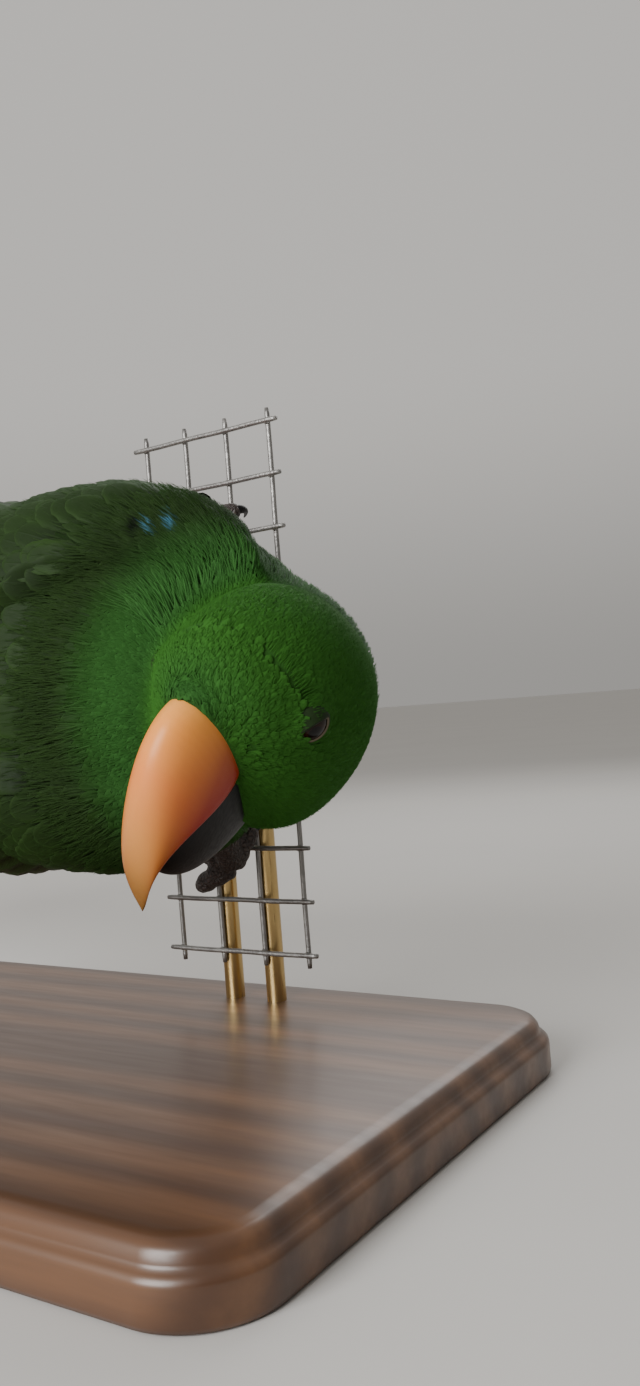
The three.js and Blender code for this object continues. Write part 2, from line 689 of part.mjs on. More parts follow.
// A clip is an oval band round a rod and the wire in front of it
function clipGeometry(column, z) {
  const oval = (grow, path) => {
    const radius = ROD.radius + grow;
    const front = MESH.y - WIRE.radius - grow + radius;
    path.absarc(0, rodY, radius, 0, Math.PI);
    path.absarc(0, front, radius, Math.PI, 2 * Math.PI);
    path.closePath();
    return path;
  };
  const band = oval(GAP + CLIP.wall, new THREE.Shape());
  band.holes.push(oval(GAP, new THREE.Path()));
  const clip = new THREE.ExtrudeGeometry(band, { depth: CLIP.height, bevelEnabled: false, curveSegments: 4 });
  return clip.translate(MESH.left + column * WIRE.pitch, 0, z - CLIP.height / 2);
}

const part = new THREE.Group();
part.add(bird);

bird.add(named('torso', torsoGeometry(), LOOKS.green));
bird.add(named('neck', neckGeometry(), LOOKS.green));
bird.add(named('tail', tailGeometry(), LOOKS.wing));
head.add(named('head', headGeometry(), LOOKS.green));
head.add(named('bill_upper', geometryOf(solid(upperBill())), LOOKS.orange));
head.add(named('bill_lower', geometryOf(solid(lowerBill()).subtract(solid(upperBill(CUT)))), LOOKS.black));
[['left', 1], ['right', -1]].forEach(([name, side]) => {
  const foot = FEET[name];
  head.add(named(`eye_${name}`, eyeball(side, EYE.radius), LOOKS.eye));
  bird.add(named(`wing_${name}`, wingGeometry(side), LOOKS.wing));
  bird.add(named(`leg_${name}`, legGeometry(foot), LOOKS.green));
  part.add(named(`foot_${name}`, geometryOf(footSolid(foot, 0)), LOOKS.scaly));
  foot.toes.forEach((toe, i) => {
    part.add(named(`claw_${name}_${i + 1}`, clawGeometry(foot, toe), LOOKS.black));
  });
});

part.add(named('perch_mesh', meshGeometry(), LOOKS.steel));
part.add(named('stand_base', baseGeometry(), LOOKS.wood));
rodColumns.forEach((column, i) => {
  part.add(named(`stand_rod_${i + 1}`, rodGeometry(column), LOOKS.brass));
  CLIP.z.forEach((z, j) => {
    part.add(named(`stand_clip_${i + 1}_${j + 1}`, clipGeometry(column, z), LOOKS.brass));
  });
});

export default part;
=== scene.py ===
# %% [markdown]
# # A male eclectus parrot on a cut of wire mesh
# The model is a life-size parrot that clings sideways to a short piece of welded mesh on a display stand.
# The imported CAD part gives every size and place. This lesson dresses it: one soft skin, feathers of many
# sizes laid over it, horn, eyes, scaly feet, wire, brass and wood.
#
# The first step loads the imported part as a fixed frame.

# %% Load the frame
import math

import bpy
import numpy as np
from mathutils import Matrix, Vector
from mathutils.bvhtree import BVHTree


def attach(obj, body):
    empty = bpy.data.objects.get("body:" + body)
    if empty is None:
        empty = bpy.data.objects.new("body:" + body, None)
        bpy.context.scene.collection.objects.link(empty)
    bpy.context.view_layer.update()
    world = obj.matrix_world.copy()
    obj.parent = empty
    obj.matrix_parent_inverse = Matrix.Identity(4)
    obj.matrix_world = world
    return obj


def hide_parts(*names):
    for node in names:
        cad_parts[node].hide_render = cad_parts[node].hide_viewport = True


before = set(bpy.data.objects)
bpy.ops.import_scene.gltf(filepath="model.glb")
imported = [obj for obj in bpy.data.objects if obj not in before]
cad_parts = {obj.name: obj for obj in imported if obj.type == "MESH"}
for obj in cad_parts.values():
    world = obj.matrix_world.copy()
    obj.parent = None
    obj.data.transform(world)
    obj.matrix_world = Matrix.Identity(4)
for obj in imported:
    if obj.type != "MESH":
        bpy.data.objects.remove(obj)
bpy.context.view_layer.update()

print("CAD nodes:", len(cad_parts))

# %% [markdown]
# ## Where things are
# All sizes below are millimetres, and become metres only when a mesh is made. The bird has axes of its
# own: x runs from tail to breast, y to its left, z out of its back. Its head is turned to look over the
# back, so the head has a middle and three axes too. Working in the bird's axes keeps the formulas short.

# %% The bird's axes and the head's axes
MM = 0.001
BIRD_AT = np.array([5.0, 3.5, 92.0])
LEAN = math.radians(4)
HEAD_AT = np.array([76.0, -7.0, 84.2])
HEAD_AXES = np.array([[-0.045, -0.957, -0.287], [0.918, 0.073, -0.389], [0.393, -0.281, 0.875]])
HEAD_AXES /= np.linalg.norm(HEAD_AXES, axis=1, keepdims=True)
HEAD_RADII = np.array([21.0, 20.0, 24.0])
BIRD_AXES = np.array([
    [math.cos(LEAN), -math.sin(LEAN), 0],
    [0, 0, 1],
    [-math.sin(LEAN), -math.cos(LEAN), 0],
])


def from_bird(points):
    """Place in the part = the bird's place + x, y and z along the bird's three axes."""
    return BIRD_AT + np.asarray(points, float) @ BIRD_AXES


def to_bird(points):
    """The three lengths of (point - the bird's place) along the bird's axes."""
    return (np.asarray(points, float) - BIRD_AT) @ BIRD_AXES.T


def from_head(points):
    """Place in the part = the head's middle + forward, left and up along the head's axes."""
    return HEAD_AT + np.asarray(points, float) @ HEAD_AXES


def to_head(points):
    """The three lengths of (point - the head's middle) along the head's axes."""
    return (np.asarray(points, float) - HEAD_AT) @ HEAD_AXES.T


def out_of_skull(points):
    """1 on an egg round the skull, less inside it and more outside."""
    return np.linalg.norm(to_head(points) / HEAD_RADII, axis=-1)


print("the head's middle in the bird's axes:", to_bird(HEAD_AT).round(1))

# %% [markdown]
# ## Small tools for arrays
# Every new surface is a grid of points worked out as one array. These helpers measure, blend and smooth
# arrays, and turn a grid into a mesh. `foreach_set` puts a whole array into Blender at once, which is
# far quicker than adding points one by one.

# %% Blending and measuring
def unit(vectors):
    """Each vector divided by its length."""
    return vectors / np.maximum(np.linalg.norm(vectors, axis=-1, keepdims=True), 1e-9)


def ramp(x, low, high):
    """0 below low, 1 above high, and 3u^2 - 2u^3 between, where u = (x - low) / (high - low)."""
    u = np.clip((x - low) / (high - low), 0, 1)
    return u * u * (3 - 2 * u)


def mix(a, b, share):
    """a + (b - a) * share."""
    return a + (b - a) * share


def circle(count):
    """Even angles once round."""
    return np.linspace(0, 2 * math.pi, count, endpoint=False)


def join(*numbers):
    """Arrays of x, y and z brought to one shape and joined as points."""
    return np.stack(np.broadcast_arrays(*numbers), -1)


def along(stations, x, column):
    """A cubic curve through a column of numbers given at stations x, with each station's slope taken
    from its two neighbours."""
    table = np.array(stations, float)
    if table[0, 0] > table[-1, 0]:
        table = table[::-1]
    x = np.asarray(x, float)
    i = np.clip(np.searchsorted(table[:, 0], x) - 1, 0, len(table) - 2)
    a, b = table[i], table[i + 1]
    before, after = table[np.maximum(i - 1, 0)], table[np.minimum(i + 2, len(table) - 1)]
    step = b[..., 0] - a[..., 0]
    t = np.clip((x - a[..., 0]) / step, 0, 1)
    slope_a = (b[..., column] - before[..., column]) / (b[..., 0] - before[..., 0]) * step
    slope_b = (after[..., column] - a[..., column]) / (after[..., 0] - a[..., 0]) * step
    return ((2 * t**3 - 3 * t**2 + 1) * a[..., column] + (t**3 - 2 * t**2 + t) * slope_a
            + (3 * t**2 - 2 * t**3) * b[..., column] + (t**3 - t**2) * slope_b)


def bezier(corners, t):
    """The cubic Bezier curve: the sum of corner k times (3 choose k) (1 - t)^(3 - k) t^k."""
    corners, t = np.asarray(corners, float), np.asarray(t, float)[..., None]
    weights = [(1 - t)**3, 3 * (1 - t)**2 * t, 3 * (1 - t) * t**2, t**3]
    return sum(weight * corner for weight, corner in zip(weights, corners))


# %% Grids as closed shells
def shell(grid):
    """Points and faces of a closed skin: quads between the rings of a grid, and a fan of triangles from
    the middle of the first and of the last ring."""
    rows, around = grid.shape[:2]
    points = np.concatenate([grid.reshape(-1, 3), grid[[0, -1]].mean(1)])
    i, j = np.meshgrid(np.arange(rows - 1), np.arange(around), indexing="ij")
    k = (j + 1) % around
    quads = np.stack([i * around + j, i * around + k, (i + 1) * around + k, (i + 1) * around + j], -1)
    j = np.arange(around)
    k = (j + 1) % around
    base = (rows - 1) * around
    first = np.stack([0 * j + rows * around, k, j], -1)
    last = np.stack([0 * j + rows * around + 1, base + j, base + k], -1)
    return points, [quads.reshape(-1, 4), np.concatenate([first, last])]


def hoop(grid):
    """Points and faces of a grid that closes on itself both ways, as a ring does."""
    rows, around = grid.shape[:2]
    i, j = np.meshgrid(np.arange(rows), np.arange(around), indexing="ij")
    onward, beside = (i + 1) % rows, (j + 1) % around
    quads = np.stack([i * around + j, i * around + beside, onward * around + beside, onward * around + j], -1)
    return grid.reshape(-1, 3), [quads.reshape(-1, 4)]


def facing_out(points, faces):
    """The faces, all turned round if the signed volume, the sum of a.(b x c)/6, is negative."""
    volume = 0.0
    for group in faces:
        for k in range(1, group.shape[1] - 1):
            a, b, c = points[group[:, 0]], points[group[:, k]], points[group[:, k + 1]]
            volume += np.einsum("ij,ij->i", a, np.cross(b, c)).sum()
    return [group[:, ::-1] if volume < 0 else group for group in faces]


def together(parts):
    """Several (points, faces) as one, with each part's face numbers moved up past the earlier points."""
    points, faces, start = [], [], 0
    for some_points, some_faces in parts:
        turned = facing_out(some_points, some_faces)
        points.append(some_points)
        faces += [group + start for group in turned]
        start += len(some_points)
    return np.concatenate(points), faces


def make_mesh(name, points, faces, smooth=True):
    """A mesh object from points in mm and arrays of faces with three or four corners."""
    mesh = bpy.data.meshes.new(name)
    corners = np.concatenate([group.ravel() for group in faces])
    sizes = np.concatenate([np.full(len(group), group.shape[1]) for group in faces])
    starts = np.concatenate([[0], np.cumsum(sizes)[:-1]])
    mesh.vertices.add(len(points))
    mesh.vertices.foreach_set("co", (np.asarray(points) * MM).astype(np.float32).ravel())
    mesh.loops.add(len(corners))
    mesh.loops.foreach_set("vertex_index", corners.astype(np.int32))
    mesh.polygons.add(len(sizes))
    mesh.polygons.foreach_set("loop_start", starts.astype(np.int32))
    mesh.update(calc_edges=True)
    mesh.polygons.foreach_set("use_smooth", np.full(len(sizes), smooth))
    piece = bpy.data.objects.new(name, mesh)
    bpy.context.scene.collection.objects.link(piece)
    return piece


def make_form(name, *forms):
    """A mesh object of one or more closed forms, each given as its points and faces."""
    return make_mesh(name, *together(forms))


def read(items, field, width, kind=np.float32):
    """One field of every item of a mesh, as rows of this many numbers."""
    values = np.empty(width * len(items), kind)
    items.foreach_get(field, values)
    return values.reshape(-1, width)


def points_of(piece):
    """All points of a mesh, in mm."""
    return read(piece.data.vertices, "co", 3).astype(float) / MM


def corners_of(piece):
    """The point that each face corner uses."""
    return read(piece.data.loops, "vertex_index", 1, np.int32).ravel()


def triangles(piece):
    """A face with n corners counts as n - 2 triangles."""
    return len(piece.data.loops) - 2 * len(piece.data.polygons)


model = []


def keep_with(piece, slot, *nodes):
    """The piece rides on the model's one body and stands for some CAD nodes. The slot is not used."""
    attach(piece, "root")
    if nodes:
        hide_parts(*nodes)
    model.append(piece)
    print(f"{piece.name}: {len(piece.data.vertices)} points, {triangles(piece)} triangles")
    return piece


# %% [markdown]
# ## The forms under the feathers
# A parrot's trunk is an egg that tapers to the tail. The CAD part states it as a row of stations, each
# with a half width, a height of the back and a depth of the belly, and a slightly square section. The
# same stations are used here, so the feathers end where the solids do.

# %% Stations of the trunk, the wings' bed and the skull
TRUNK = [
    [76, 9, -3, 14], [71, 16.5, 2, 20], [62, 25.5, 9, 26], [46, 34, 24, 31], [20, 35.2, 33.6, 33.5],
    [-10, 31.2, 32, 34], [-40, 27.4, 27.4, 30], [-66, 21.7, 19.6, 22], [-88, 14, 12, 14],
    [-101, 9.5, 7.5, 9],
]
WING_BED = [*TRUNK[:8], [-92, 19.5, 13.5, 17], [-130, 20, 10, 14], [-186, 22, 8.5, 12]]
WING_EDGES = [
    [70, 88, 68], [58, 102, 47], [30, 108, 25], [0, 106, 14], [-30, 99, 9], [-60, 86, 8], [-90, 73, 12],
    [-130, 62, 26], [-183, 46, 36],
]
SKULL = [
    [-21, 10.5, 9, 13.5], [-16, 16, 16, 20], [-8, 19.5, 21.5, 24.5], [1, 19.7, 22.5, 25],
    [8, 18.3, 20.5, 23.3], [13.7, 15.4, 16.6, 19], [17.6, 11.7, 12.2, 14], [20, 7.3, 7.8, 7.8],
]
FACE_SLOPE = 0.36
SQUARENESS = 2.25


def on_body(stations, x, degrees, height):
    """x, half width * sin(a)^(2 / squareness) and depth * cos(a)^(2 / squareness), where a goes round
    from the spine, and a height is added to the half width and to the depth."""
    angle = np.radians(degrees)
    rise, side = np.cos(angle), np.sin(angle)
    half = along(stations, x, 1) + height
    depth = np.where(rise > 0, along(stations, x, 2), along(stations, x, 3)) + height
    power = 2 / SQUARENESS
    return join(x, half * np.sign(side) * np.abs(side)**power, depth * np.sign(rise) * np.abs(rise)**power)


def trunk_form(grow):
    """The trunk's rings from breast to tail, closer at both ends: the share of the way is
    (1 - cos pi s) / 2."""
    s = np.linspace(0, 1, 90)[:, None]
    x = mix(TRUNK[0][0] + grow, TRUNK[-1][0] - grow, 0.5 - 0.5 * np.cos(math.pi * s))
    return from_bird(on_body(TRUNK, x, np.linspace(0, 360, 96, endpoint=False)[None, :], grow))


def skull_form(grow):
    """The skull's rings from nape to bill. The face leans: forward += slope * height."""
    s = np.linspace(0, 1, 60)[:, None]
    forward = mix(SKULL[0][0], SKULL[-1][0], 0.5 - 0.5 * np.cos(math.pi * s))
    angle = circle(80)[None, :]
    depth = np.where(np.cos(angle) > 0, along(SKULL, forward, 2), along(SKULL, forward, 3))
    height = (depth + grow) * np.cos(angle)
    out = (along(SKULL, forward, 1) + grow) * np.sin(angle)
    slope = FACE_SLOPE * ramp(forward, 0, SKULL[-1][0])
    reach = grow * (2 * s - 1)
    return from_head(join(forward + reach + slope * height, out, height))


def tube(path, radius, around=16):
    """Rings round a path: centre + radius (cos a * side + sin a * other side), where the sides are carried
    along the path without twist, by taking out of each what points along the path."""
    path = np.asarray(path, float)
    radius = np.broadcast_to(radius, len(path))
    ahead = unit(np.gradient(path, axis=0))
    side = np.empty_like(path)
    carried = np.cross(ahead[0], [0.3, 0.5, 0.8])
    for i, direction in enumerate(ahead):
        carried = carried - direction * (carried @ direction)
        carried = carried / np.linalg.norm(carried)
        side[i] = carried
    other = np.cross(ahead, side)
    angle = circle(around)
    ring = np.cos(angle)[None, :, None] * side[:, None] + np.sin(angle)[None, :, None] * other[:, None]
    return path[:, None] + radius[:, None, None] * ring


def arc(points, count):
    """A smooth path through three points: the parabola through them at 0, 1/2 and 1."""
    a, b, c = np.asarray(points, float)
    t = np.linspace(0, 1, count)[:, None]
    return a * (1 - t) * (1 - 2 * t) + b * 4 * t * (1 - t) + c * t * (2 * t - 1)


def round_ends(radius, t, start, end):
    """The radius times sqrt(1 - u^2) within a share of each end, where u runs from 0 to 1 there."""
    u = np.clip((start - t) / max(start, 1e-6), 0, 1) + np.clip((t - 1 + end) / max(end, 1e-6), 0, 1)
    return radius * np.sqrt(np.maximum(0.06, 1 - u**2))


# %% [markdown]
# The folded wing lies on a bed just outside the trunk. Its front is the arm, a thick form under small
# feathers. A place on the wing is x along the bed, and the millimetres up from the wing's low edge.

# %% The folded wing
ARM = {
    "front": 70, "rear": -3, "narrowing": 10, "lift": 0.7, "edge": 0.7, "thickness": 4,
    "rear_thickness": 3, "sunk": 1.6,
}
FROM_SPINE = 1.3


def on_wing(side, x, y, height):
    """The low edge's angle less y / radius gives the angle round the bed, held off the spine by a little."""
    radius = (along(WING_BED, x, 1) + along(WING_BED, x, 2)) / 2
    degrees = np.maximum(along(WING_EDGES, x, 1) - np.degrees(y / radius), FROM_SPINE)
    return from_bird(on_body(WING_BED, x, side * degrees, ARM["lift"] + height))


def arm_form(side, grow):
    """Rings of the arm: a swelling edge + body * sin(pi j) across it on top, and the bed below."""
    t = np.linspace(0, 1, 40)[:, None]
    x = mix(ARM["front"], ARM["rear"], t)
    low = along(WING_EDGES, x, 1)
    high = along(WING_EDGES, x, 2) + ARM["narrowing"] * ramp(t, 0.6, 1)
    rise = mix(ARM["thickness"], ARM["rear_thickness"], ramp(t, 0.5, 1)) + grow
    body = rise * np.sqrt(np.maximum(0.02, 1 - np.maximum(0, 1 - 2.2 * t)**4))
    j = np.linspace(0, 1, 30)[None, :]
    degrees = side * mix(low, high, j)
    swell = body * np.sin(math.pi * (0.04 + 0.92 * j))
    outer = on_body(WING_BED, x, degrees, ARM["lift"] + ARM["edge"] + swell)
    inner = on_body(WING_BED, x, degrees, ARM["lift"] - ARM["sunk"])
    return from_bird(np.concatenate([outer, inner[:, ::-1]], 1))


# %% [markdown]
# ## The skin
# Under its feathers a bird has one continuous skin, so one mesh stands for torso, neck, head and legs.
# It could be sculpted, or joined from the CAD solids. Here the same forms are made finer and a little
# smaller, by the depth of the coat that will lie on them, then fused by a voxel remesh and smoothed, so
# that the neck flows into the shoulders and no seam shows.

# %% The forms of the skin, smaller than the solids by the coat's depth
COAT = {"body": 1.9, "neck": 1.6, "head": 0.9, "arm": 1.3, "leg": 1.2}
NECK = {"from": [42, 0, -4], "bend": [61, -2, -9], "nape": [-9, 0, -5], "radius": [25, 17.5]}
LEGS = {
    "left": {"hip": [8, 19, -16], "ankle": [27, 31, -26]},
    "right": {"hip": [8, -19, -16], "ankle": [30, -31, -25]},
}
LEG = {"hip_radius": 15, "ankle_radius": 7.5, "knee_drop": 2}
TAIL_PAD = {"from": -92, "to": -120, "radius": 5.4, "width": 1.5, "depth": 0.75}


def neck_form():
    """A tube from the breast to the nape, whose radius falls evenly."""
    path = arc([from_bird(NECK["from"]), from_bird(NECK["bend"]), from_head(NECK["nape"])], 30)
    return tube(path, np.linspace(*NECK["radius"], 30) - COAT["neck"], 64)


def leg_form(name):
    """A narrowing tube from hip to ankle, by way of a knee that hangs a little lower."""
    hip, ankle = np.array(LEGS[name]["hip"], float), np.array(LEGS[name]["ankle"], float)
    path = arc(from_bird([hip, (hip + ankle) / 2 - [0, 0, LEG["knee_drop"]], ankle]), 30)
    t = np.linspace(0, 1, 30)
    radius = mix(LEG["hip_radius"], LEG["ankle_radius"], t) - COAT["leg"]
    return tube(path, round_ends(radius, t, 0.1, 0.12), 32)


def tail_pad_form():
    """A flattened tube with round ends at the tail's root."""
    t = np.linspace(0, 1, 24)[:, None]
    angle = circle(32)[None, :]
    radius = round_ends(TAIL_PAD["radius"], t, 0.05, 0.5)
    x = mix(TAIL_PAD["from"], TAIL_PAD["to"], t) + 0 * angle
    return from_bird(np.stack([
        x, TAIL_PAD["width"] * radius * np.sin(angle), TAIL_PAD["depth"] * radius * np.cos(angle)], -1))


COLLAR = {"middle": [12.8, 0, -5], "radii": [5, 9.2, 17], "lean": [0.28, 0.6]}


def collar_form():
    """The feathered rim round the bill's base: a ball squashed to three radii, that leans over the bill."""
    a = np.linspace(0.02, math.pi - 0.02, 30)[:, None]
    b = circle(60)[None, :]
    forward, left, up = np.cos(a) + 0 * b, np.sin(a) * np.sin(b), np.sin(a) * np.cos(b)
    spot = np.stack([forward, left, up], -1) * COLLAR["radii"]
    spot[..., 0] += spot[..., 2] * np.where(spot[..., 2] < 0, *COLLAR["lean"])
    return from_head(COLLAR["middle"] + spot)


EYE = {
    "opening": np.array([10, 17.7, 4.7]), "gaze": unit(np.array([0.45, 0.86, -0.2])), "radius": 4.2,
    "proud": 0.1, "lid": 0.2,
}
ALMOND = {"long": 2.9, "short": 1.5, "tilt": 40, "bare_long": 0.4, "bare_short": 0.35}


def eye_place(side, distance):
    """A point on the line of sight: opening + gaze (distance - radius + proud)."""
    place = EYE["opening"] + EYE["gaze"] * (distance - EYE["radius"] + EYE["proud"])
    return from_head(place * [1, side, 1])


def eye_axes(side):
    """The lids' long axis, that points forward and is tilted down to the bill, their short axis, that points
    up, and the line of sight."""
    gaze = unit(eye_place(side, 1) - eye_place(side, 0))
    ahead = unit(HEAD_AXES[0] - gaze * (HEAD_AXES[0] @ gaze))
    above = np.cross(ahead, gaze) * side
    tilt = math.radians(ALMOND["tilt"])
    long_axis = ahead * math.cos(tilt) - above * math.sin(tilt)
    short_axis = above * math.cos(tilt) + ahead * math.sin(tilt)
    return long_axis, short_axis, gaze


def lid_form(side):
    """The bulge of the lids under the feathers: a ball a little larger than the eye, round the same
    middle."""
    a = np.linspace(0.03, math.pi - 0.03, 24)[:, None]
    b = circle(40)[None, :]
    spot = np.stack([np.sin(a) * np.cos(b), np.sin(a) * np.sin(b), np.cos(a) + 0 * b], -1)
    return eye_place(side, 0) + (EYE["radius"] + EYE["lid"]) * spot


forms = [
    trunk_form(-COAT["body"]), neck_form(), skull_form(-COAT["head"]), collar_form(), lid_form(1),
    lid_form(-1), leg_form("left"), leg_form("right"), tail_pad_form(), arm_form(1, -COAT["arm"]),
    arm_form(-1, -COAT["arm"]),
]
skin = make_form("skin", *[shell(form) for form in forms])
print("forms joined:", len(skin.data.vertices), "points")


# %% Fuse and smooth the skin
def smooth_points(points, edges, rounds, share=0.5):
    """Each round moves every point by a share of the way to the mean of its neighbours."""
    ends = np.concatenate([edges, edges[:, ::-1]])
    count = np.bincount(ends[:, 0], minlength=len(points))[:, None]
    for _ in range(rounds):
        total = np.stack([np.bincount(ends[:, 0], points[ends[:, 1], k], len(points)) for k in range(3)], -1)
        points = mix(points, total / np.maximum(count, 1), share)
    return points


def fuse(piece, voxel, rounds):
    """A voxel remesh of the piece, with its points smoothed. Gives the points back, in mm."""
    remesh = piece.modifiers.new("fuse", "REMESH")
    remesh.mode = "VOXEL"
    remesh.voxel_size = voxel * MM
    mesh = bpy.data.meshes.new_from_object(piece.evaluated_get(bpy.context.evaluated_depsgraph_get()))
    piece.modifiers.clear()
    piece.data = mesh
    points = smooth_points(points_of(piece), read(mesh.edges, "vertices", 2, np.int32), rounds)
    mesh.vertices.foreach_set("co", (points * MM).astype(np.float32).ravel())
    mesh.update()
    mesh.polygons.foreach_set("use_smooth", np.full(len(mesh.polygons), True))
    return points


skin_points = fuse(skin, voxel=1.15, rounds=8)
print("skin:", len(skin.data.polygons), "faces")

# %% [markdown]
# ## Finding a place on the skin
# Feathers follow the skin they grow from. A BVH tree finds the nearest place on a mesh quickly. The
# faces' normals are blended from their corners, so that neighbouring feathers lie alike.

# %% Nearest places
class Ground:
    """A mesh of quads to lay feathers on: nearest places and smooth normals."""

    def __init__(self, piece):
        faces = corners_of(piece).reshape(-1, 4)
        normals = read(piece.data.vertices, "normal", 3).astype(float)
        self.tree = BVHTree.FromPolygons(points_of(piece).tolist(), faces.tolist())
        self.normals = unit(normals[faces].mean(1))

    def nearest(self, points):
        """For each point, the nearest place on the mesh and the normal there."""
        hits = [self.tree.find_nearest(point) for point in points.tolist()]
        return np.array([tuple(hit[0]) for hit in hits]), self.normals[[hit[2] for hit in hits]]


ground = Ground(skin)
print("ground ready")

# %% [markdown]
# ## The plumage's colours
# A male eclectus is green all over: brightest on the head and neck, deeper on the mantle. Two small
# blue marks show on the shoulder, beside a dark line of painted shadow under one feather's overlapping
# tip. The outer webs of the primaries are blue, the flanks under the wing red, and the tail ends yellow.
# One formula of the place gives the colour to the skin and to every small feather, so both carry the
# same markings.

# %% Colours by place
GREEN = {
    "head": (0.029, 0.108, 0.015), "neck": (0.023, 0.083, 0.016), "mantle": (0.0104, 0.0245, 0.0045),
    "breast": (0.028, 0.092, 0.014), "wing": (0.017, 0.042, 0.008),
}
RED = (0.45, 0.012, 0.010)
BLUE = (0.04, 0.13, 0.20)
OVERLAP_SHADOW = (0, 0, 0)
# The dark third mark is painted shadow, a line along one feather's overlapping tip.
MARKS = [[53.9, 27.4, 0.3, 1.5, BLUE], [56.6, 28.2, 0.45, 1.5, BLUE], [51.9, 27.5, 0.5, 2.2, OVERLAP_SHADOW]]


def blend_colour(colour, other, share):
    """The colour moved towards another by a share that changes from point to point."""
    return mix(colour, np.asarray(other, float), np.asarray(share)[..., None])


def plumage(points):
    """Green by zones that fade into one another, then the red flanks, then small marks, each an oval with
    a middle x, y, a half width and a half length: two blue ones, and a dark one of painted shadow."""
    bird, inside = to_bird(points), out_of_skull(points)
    distance = np.linalg.norm(points - HEAD_AT, axis=-1)
    degrees = np.abs(np.degrees(np.arctan2(bird[..., 1], bird[..., 2])))
    colour = np.broadcast_to(np.array(GREEN["mantle"]), points.shape).copy()
    colour = blend_colour(colour, GREEN["breast"], ramp(degrees, 105, 135))
    colour = blend_colour(colour, GREEN["neck"], 1 - ramp(distance, 28, 41))
    colour = blend_colour(colour, GREEN["head"], 1 - ramp(inside, 1.0, 1.2))
    low = along(WING_EDGES, bird[..., 0], 1)
    flank = ramp(degrees, low - 12, low - 2) * (1 - ramp(degrees, low + 10, low + 26))
    flank = flank * ramp(bird[..., 0], -60, -30) * (1 - ramp(bird[..., 0], 30, 52)) * ramp(distance, 40, 50)
    colour = blend_colour(colour, RED, flank)
    for x, y, half, reach, tint in MARKS:
        off = np.hypot((bird[..., 0] - x + 0.06 * (bird[..., 1] - y)) / half, (bird[..., 1] - y) / reach)
        colour = blend_colour(colour, tint, (1 - ramp(off, 0.7, 1.2)) * (bird[..., 2] > 5))
    return colour


print("head top:", plumage(from_head([[0, 0, 24]])).round(3))
print("mantle:", plumage(from_bird([[0, 0, 33]])).round(3))

# %% [markdown]
# ## How a feather is built
# A feather is a thin lens: a top sheet and a bottom sheet that share their border. A hair-like barb is a
# flat three-sided blade that ends in a point. All tufts of a piece have the same points and faces, so
# one small table of faces is repeated with moved numbers. Each point also carries three numbers to its
# material: the place across and along the vane, and the feather's random tone.

# %% Tables of faces for one tuft
def vane_table(rows, columns):
    """For a grid of rows and columns: which grid points the bottom sheet has of its own, and the quads of
    both sheets, where the bottom uses the top's points on the border. The bottom's quads turn the other
    way round from the same corner, so both sheets are parted along the same diagonals and never cross."""
    i, j = np.meshgrid(np.arange(rows), np.arange(columns), indexing="ij")
    border = (i == 0) | (i == rows - 1) | (j == 0) | (j == columns - 1)
    top = i * columns + j
    bottom = top.copy()
    bottom[~border] = rows * columns + np.arange((~border).sum())

    def quads(index):
        return np.stack([index[:-1, :-1], index[1:, :-1], index[1:, 1:], index[:-1, 1:]], -1).reshape(-1, 4)

    return ~border, [np.concatenate([quads(top), quads(bottom)[:, [0, 3, 2, 1]]])]


def strand_table(rings):
    """Three-sided rings joined by quads, closed by a triangle at the root and three at the tip."""
    i, j = np.meshgrid(np.arange(rings - 1), np.arange(3), indexing="ij")
    k = (j + 1) % 3
    quads = np.stack([3 * i + j, 3 * i + k, 3 * i + 3 + k, 3 * i + 3 + j], -1).reshape(-1, 4)
    last, tip = 3 * rings - 3, 3 * rings
    ends = np.array([[2, 1, 0], [last, last + 1, tip], [last + 1, last + 2, tip], [last + 2, last, tip]])
    return [quads, ends]


PATCH = 0.003


def make_tufts(name, points, table, share, colours, patch, soften=None):
    """One mesh of n closed tufts of m points. share and colours are (n, m, 3), and patch (n, 2) is the place
    of each tuft's root on the skin's unwrap. A tuft's patch there is 0.003 across: place + half a patch
    times (across, 2 along - 1). soften (n, m, 3) gives normals for the shading, blended half and half
    with the mesh's."""
    n, m = points.shape[:2]
    faces = [(part[None] + (np.arange(n) * m)[:, None, None]).reshape(-1, part.shape[1]) for part in table]
    piece = make_form(name, (points.reshape(-1, 3), faces))
    store(piece, "plumage", colours.reshape(-1, 3))
    store(piece, "vane", share.reshape(-1, 3))
    spots = patch[:, None] + PATCH / 2 * np.stack([share[..., 0], 2 * share[..., 1] - 1], -1)
    spots = spots.reshape(-1, 2)[corners_of(piece)]
    piece.data.uv_layers.new(name="OFBake").data.foreach_set("uv", spots.astype(np.float32).ravel())
    if soften is not None:
        blend = unit(read(piece.data.vertices, "normal", 3) * 0.5 + unit(soften.reshape(-1, 3)))
        piece.data.normals_split_custom_set_from_vertices(blend.tolist())
    coat.append(piece)
    print(name, n, "tufts,", triangles(piece), "triangles")
    return piece


def make_vanes(name, top, bottom, colour, tone, patch, up=None):
    """One mesh of n lens-shaped feathers from their top and bottom sheets, (n, rows, columns, 3) each."""
    n, rows, columns = top.shape[:3]
    own, table = vane_table(rows, columns)

    def gather(a, b):
        return np.concatenate([a.reshape(n, rows * columns, -1), b[:, own]], 1)

    across, run = np.meshgrid(np.linspace(-1, 1, columns), np.linspace(0, 1, rows))
    share = join(across, run, tone[:, None, None])
    points, share, colours = gather(top, bottom), gather(share, share), gather(colour, colour)
    return make_tufts(name, points, table, share, colours, patch, None if up is None else gather(up, up))


def store(piece, name, values):
    """A vector for each point, kept with the mesh under a name."""
    layer = piece.data.attributes.new(name, "FLOAT_VECTOR", "POINT")
    layer.data.foreach_set("vector", values.astype(np.float32).ravel())

UNWRAP = {"rear": -240, "length": 330}


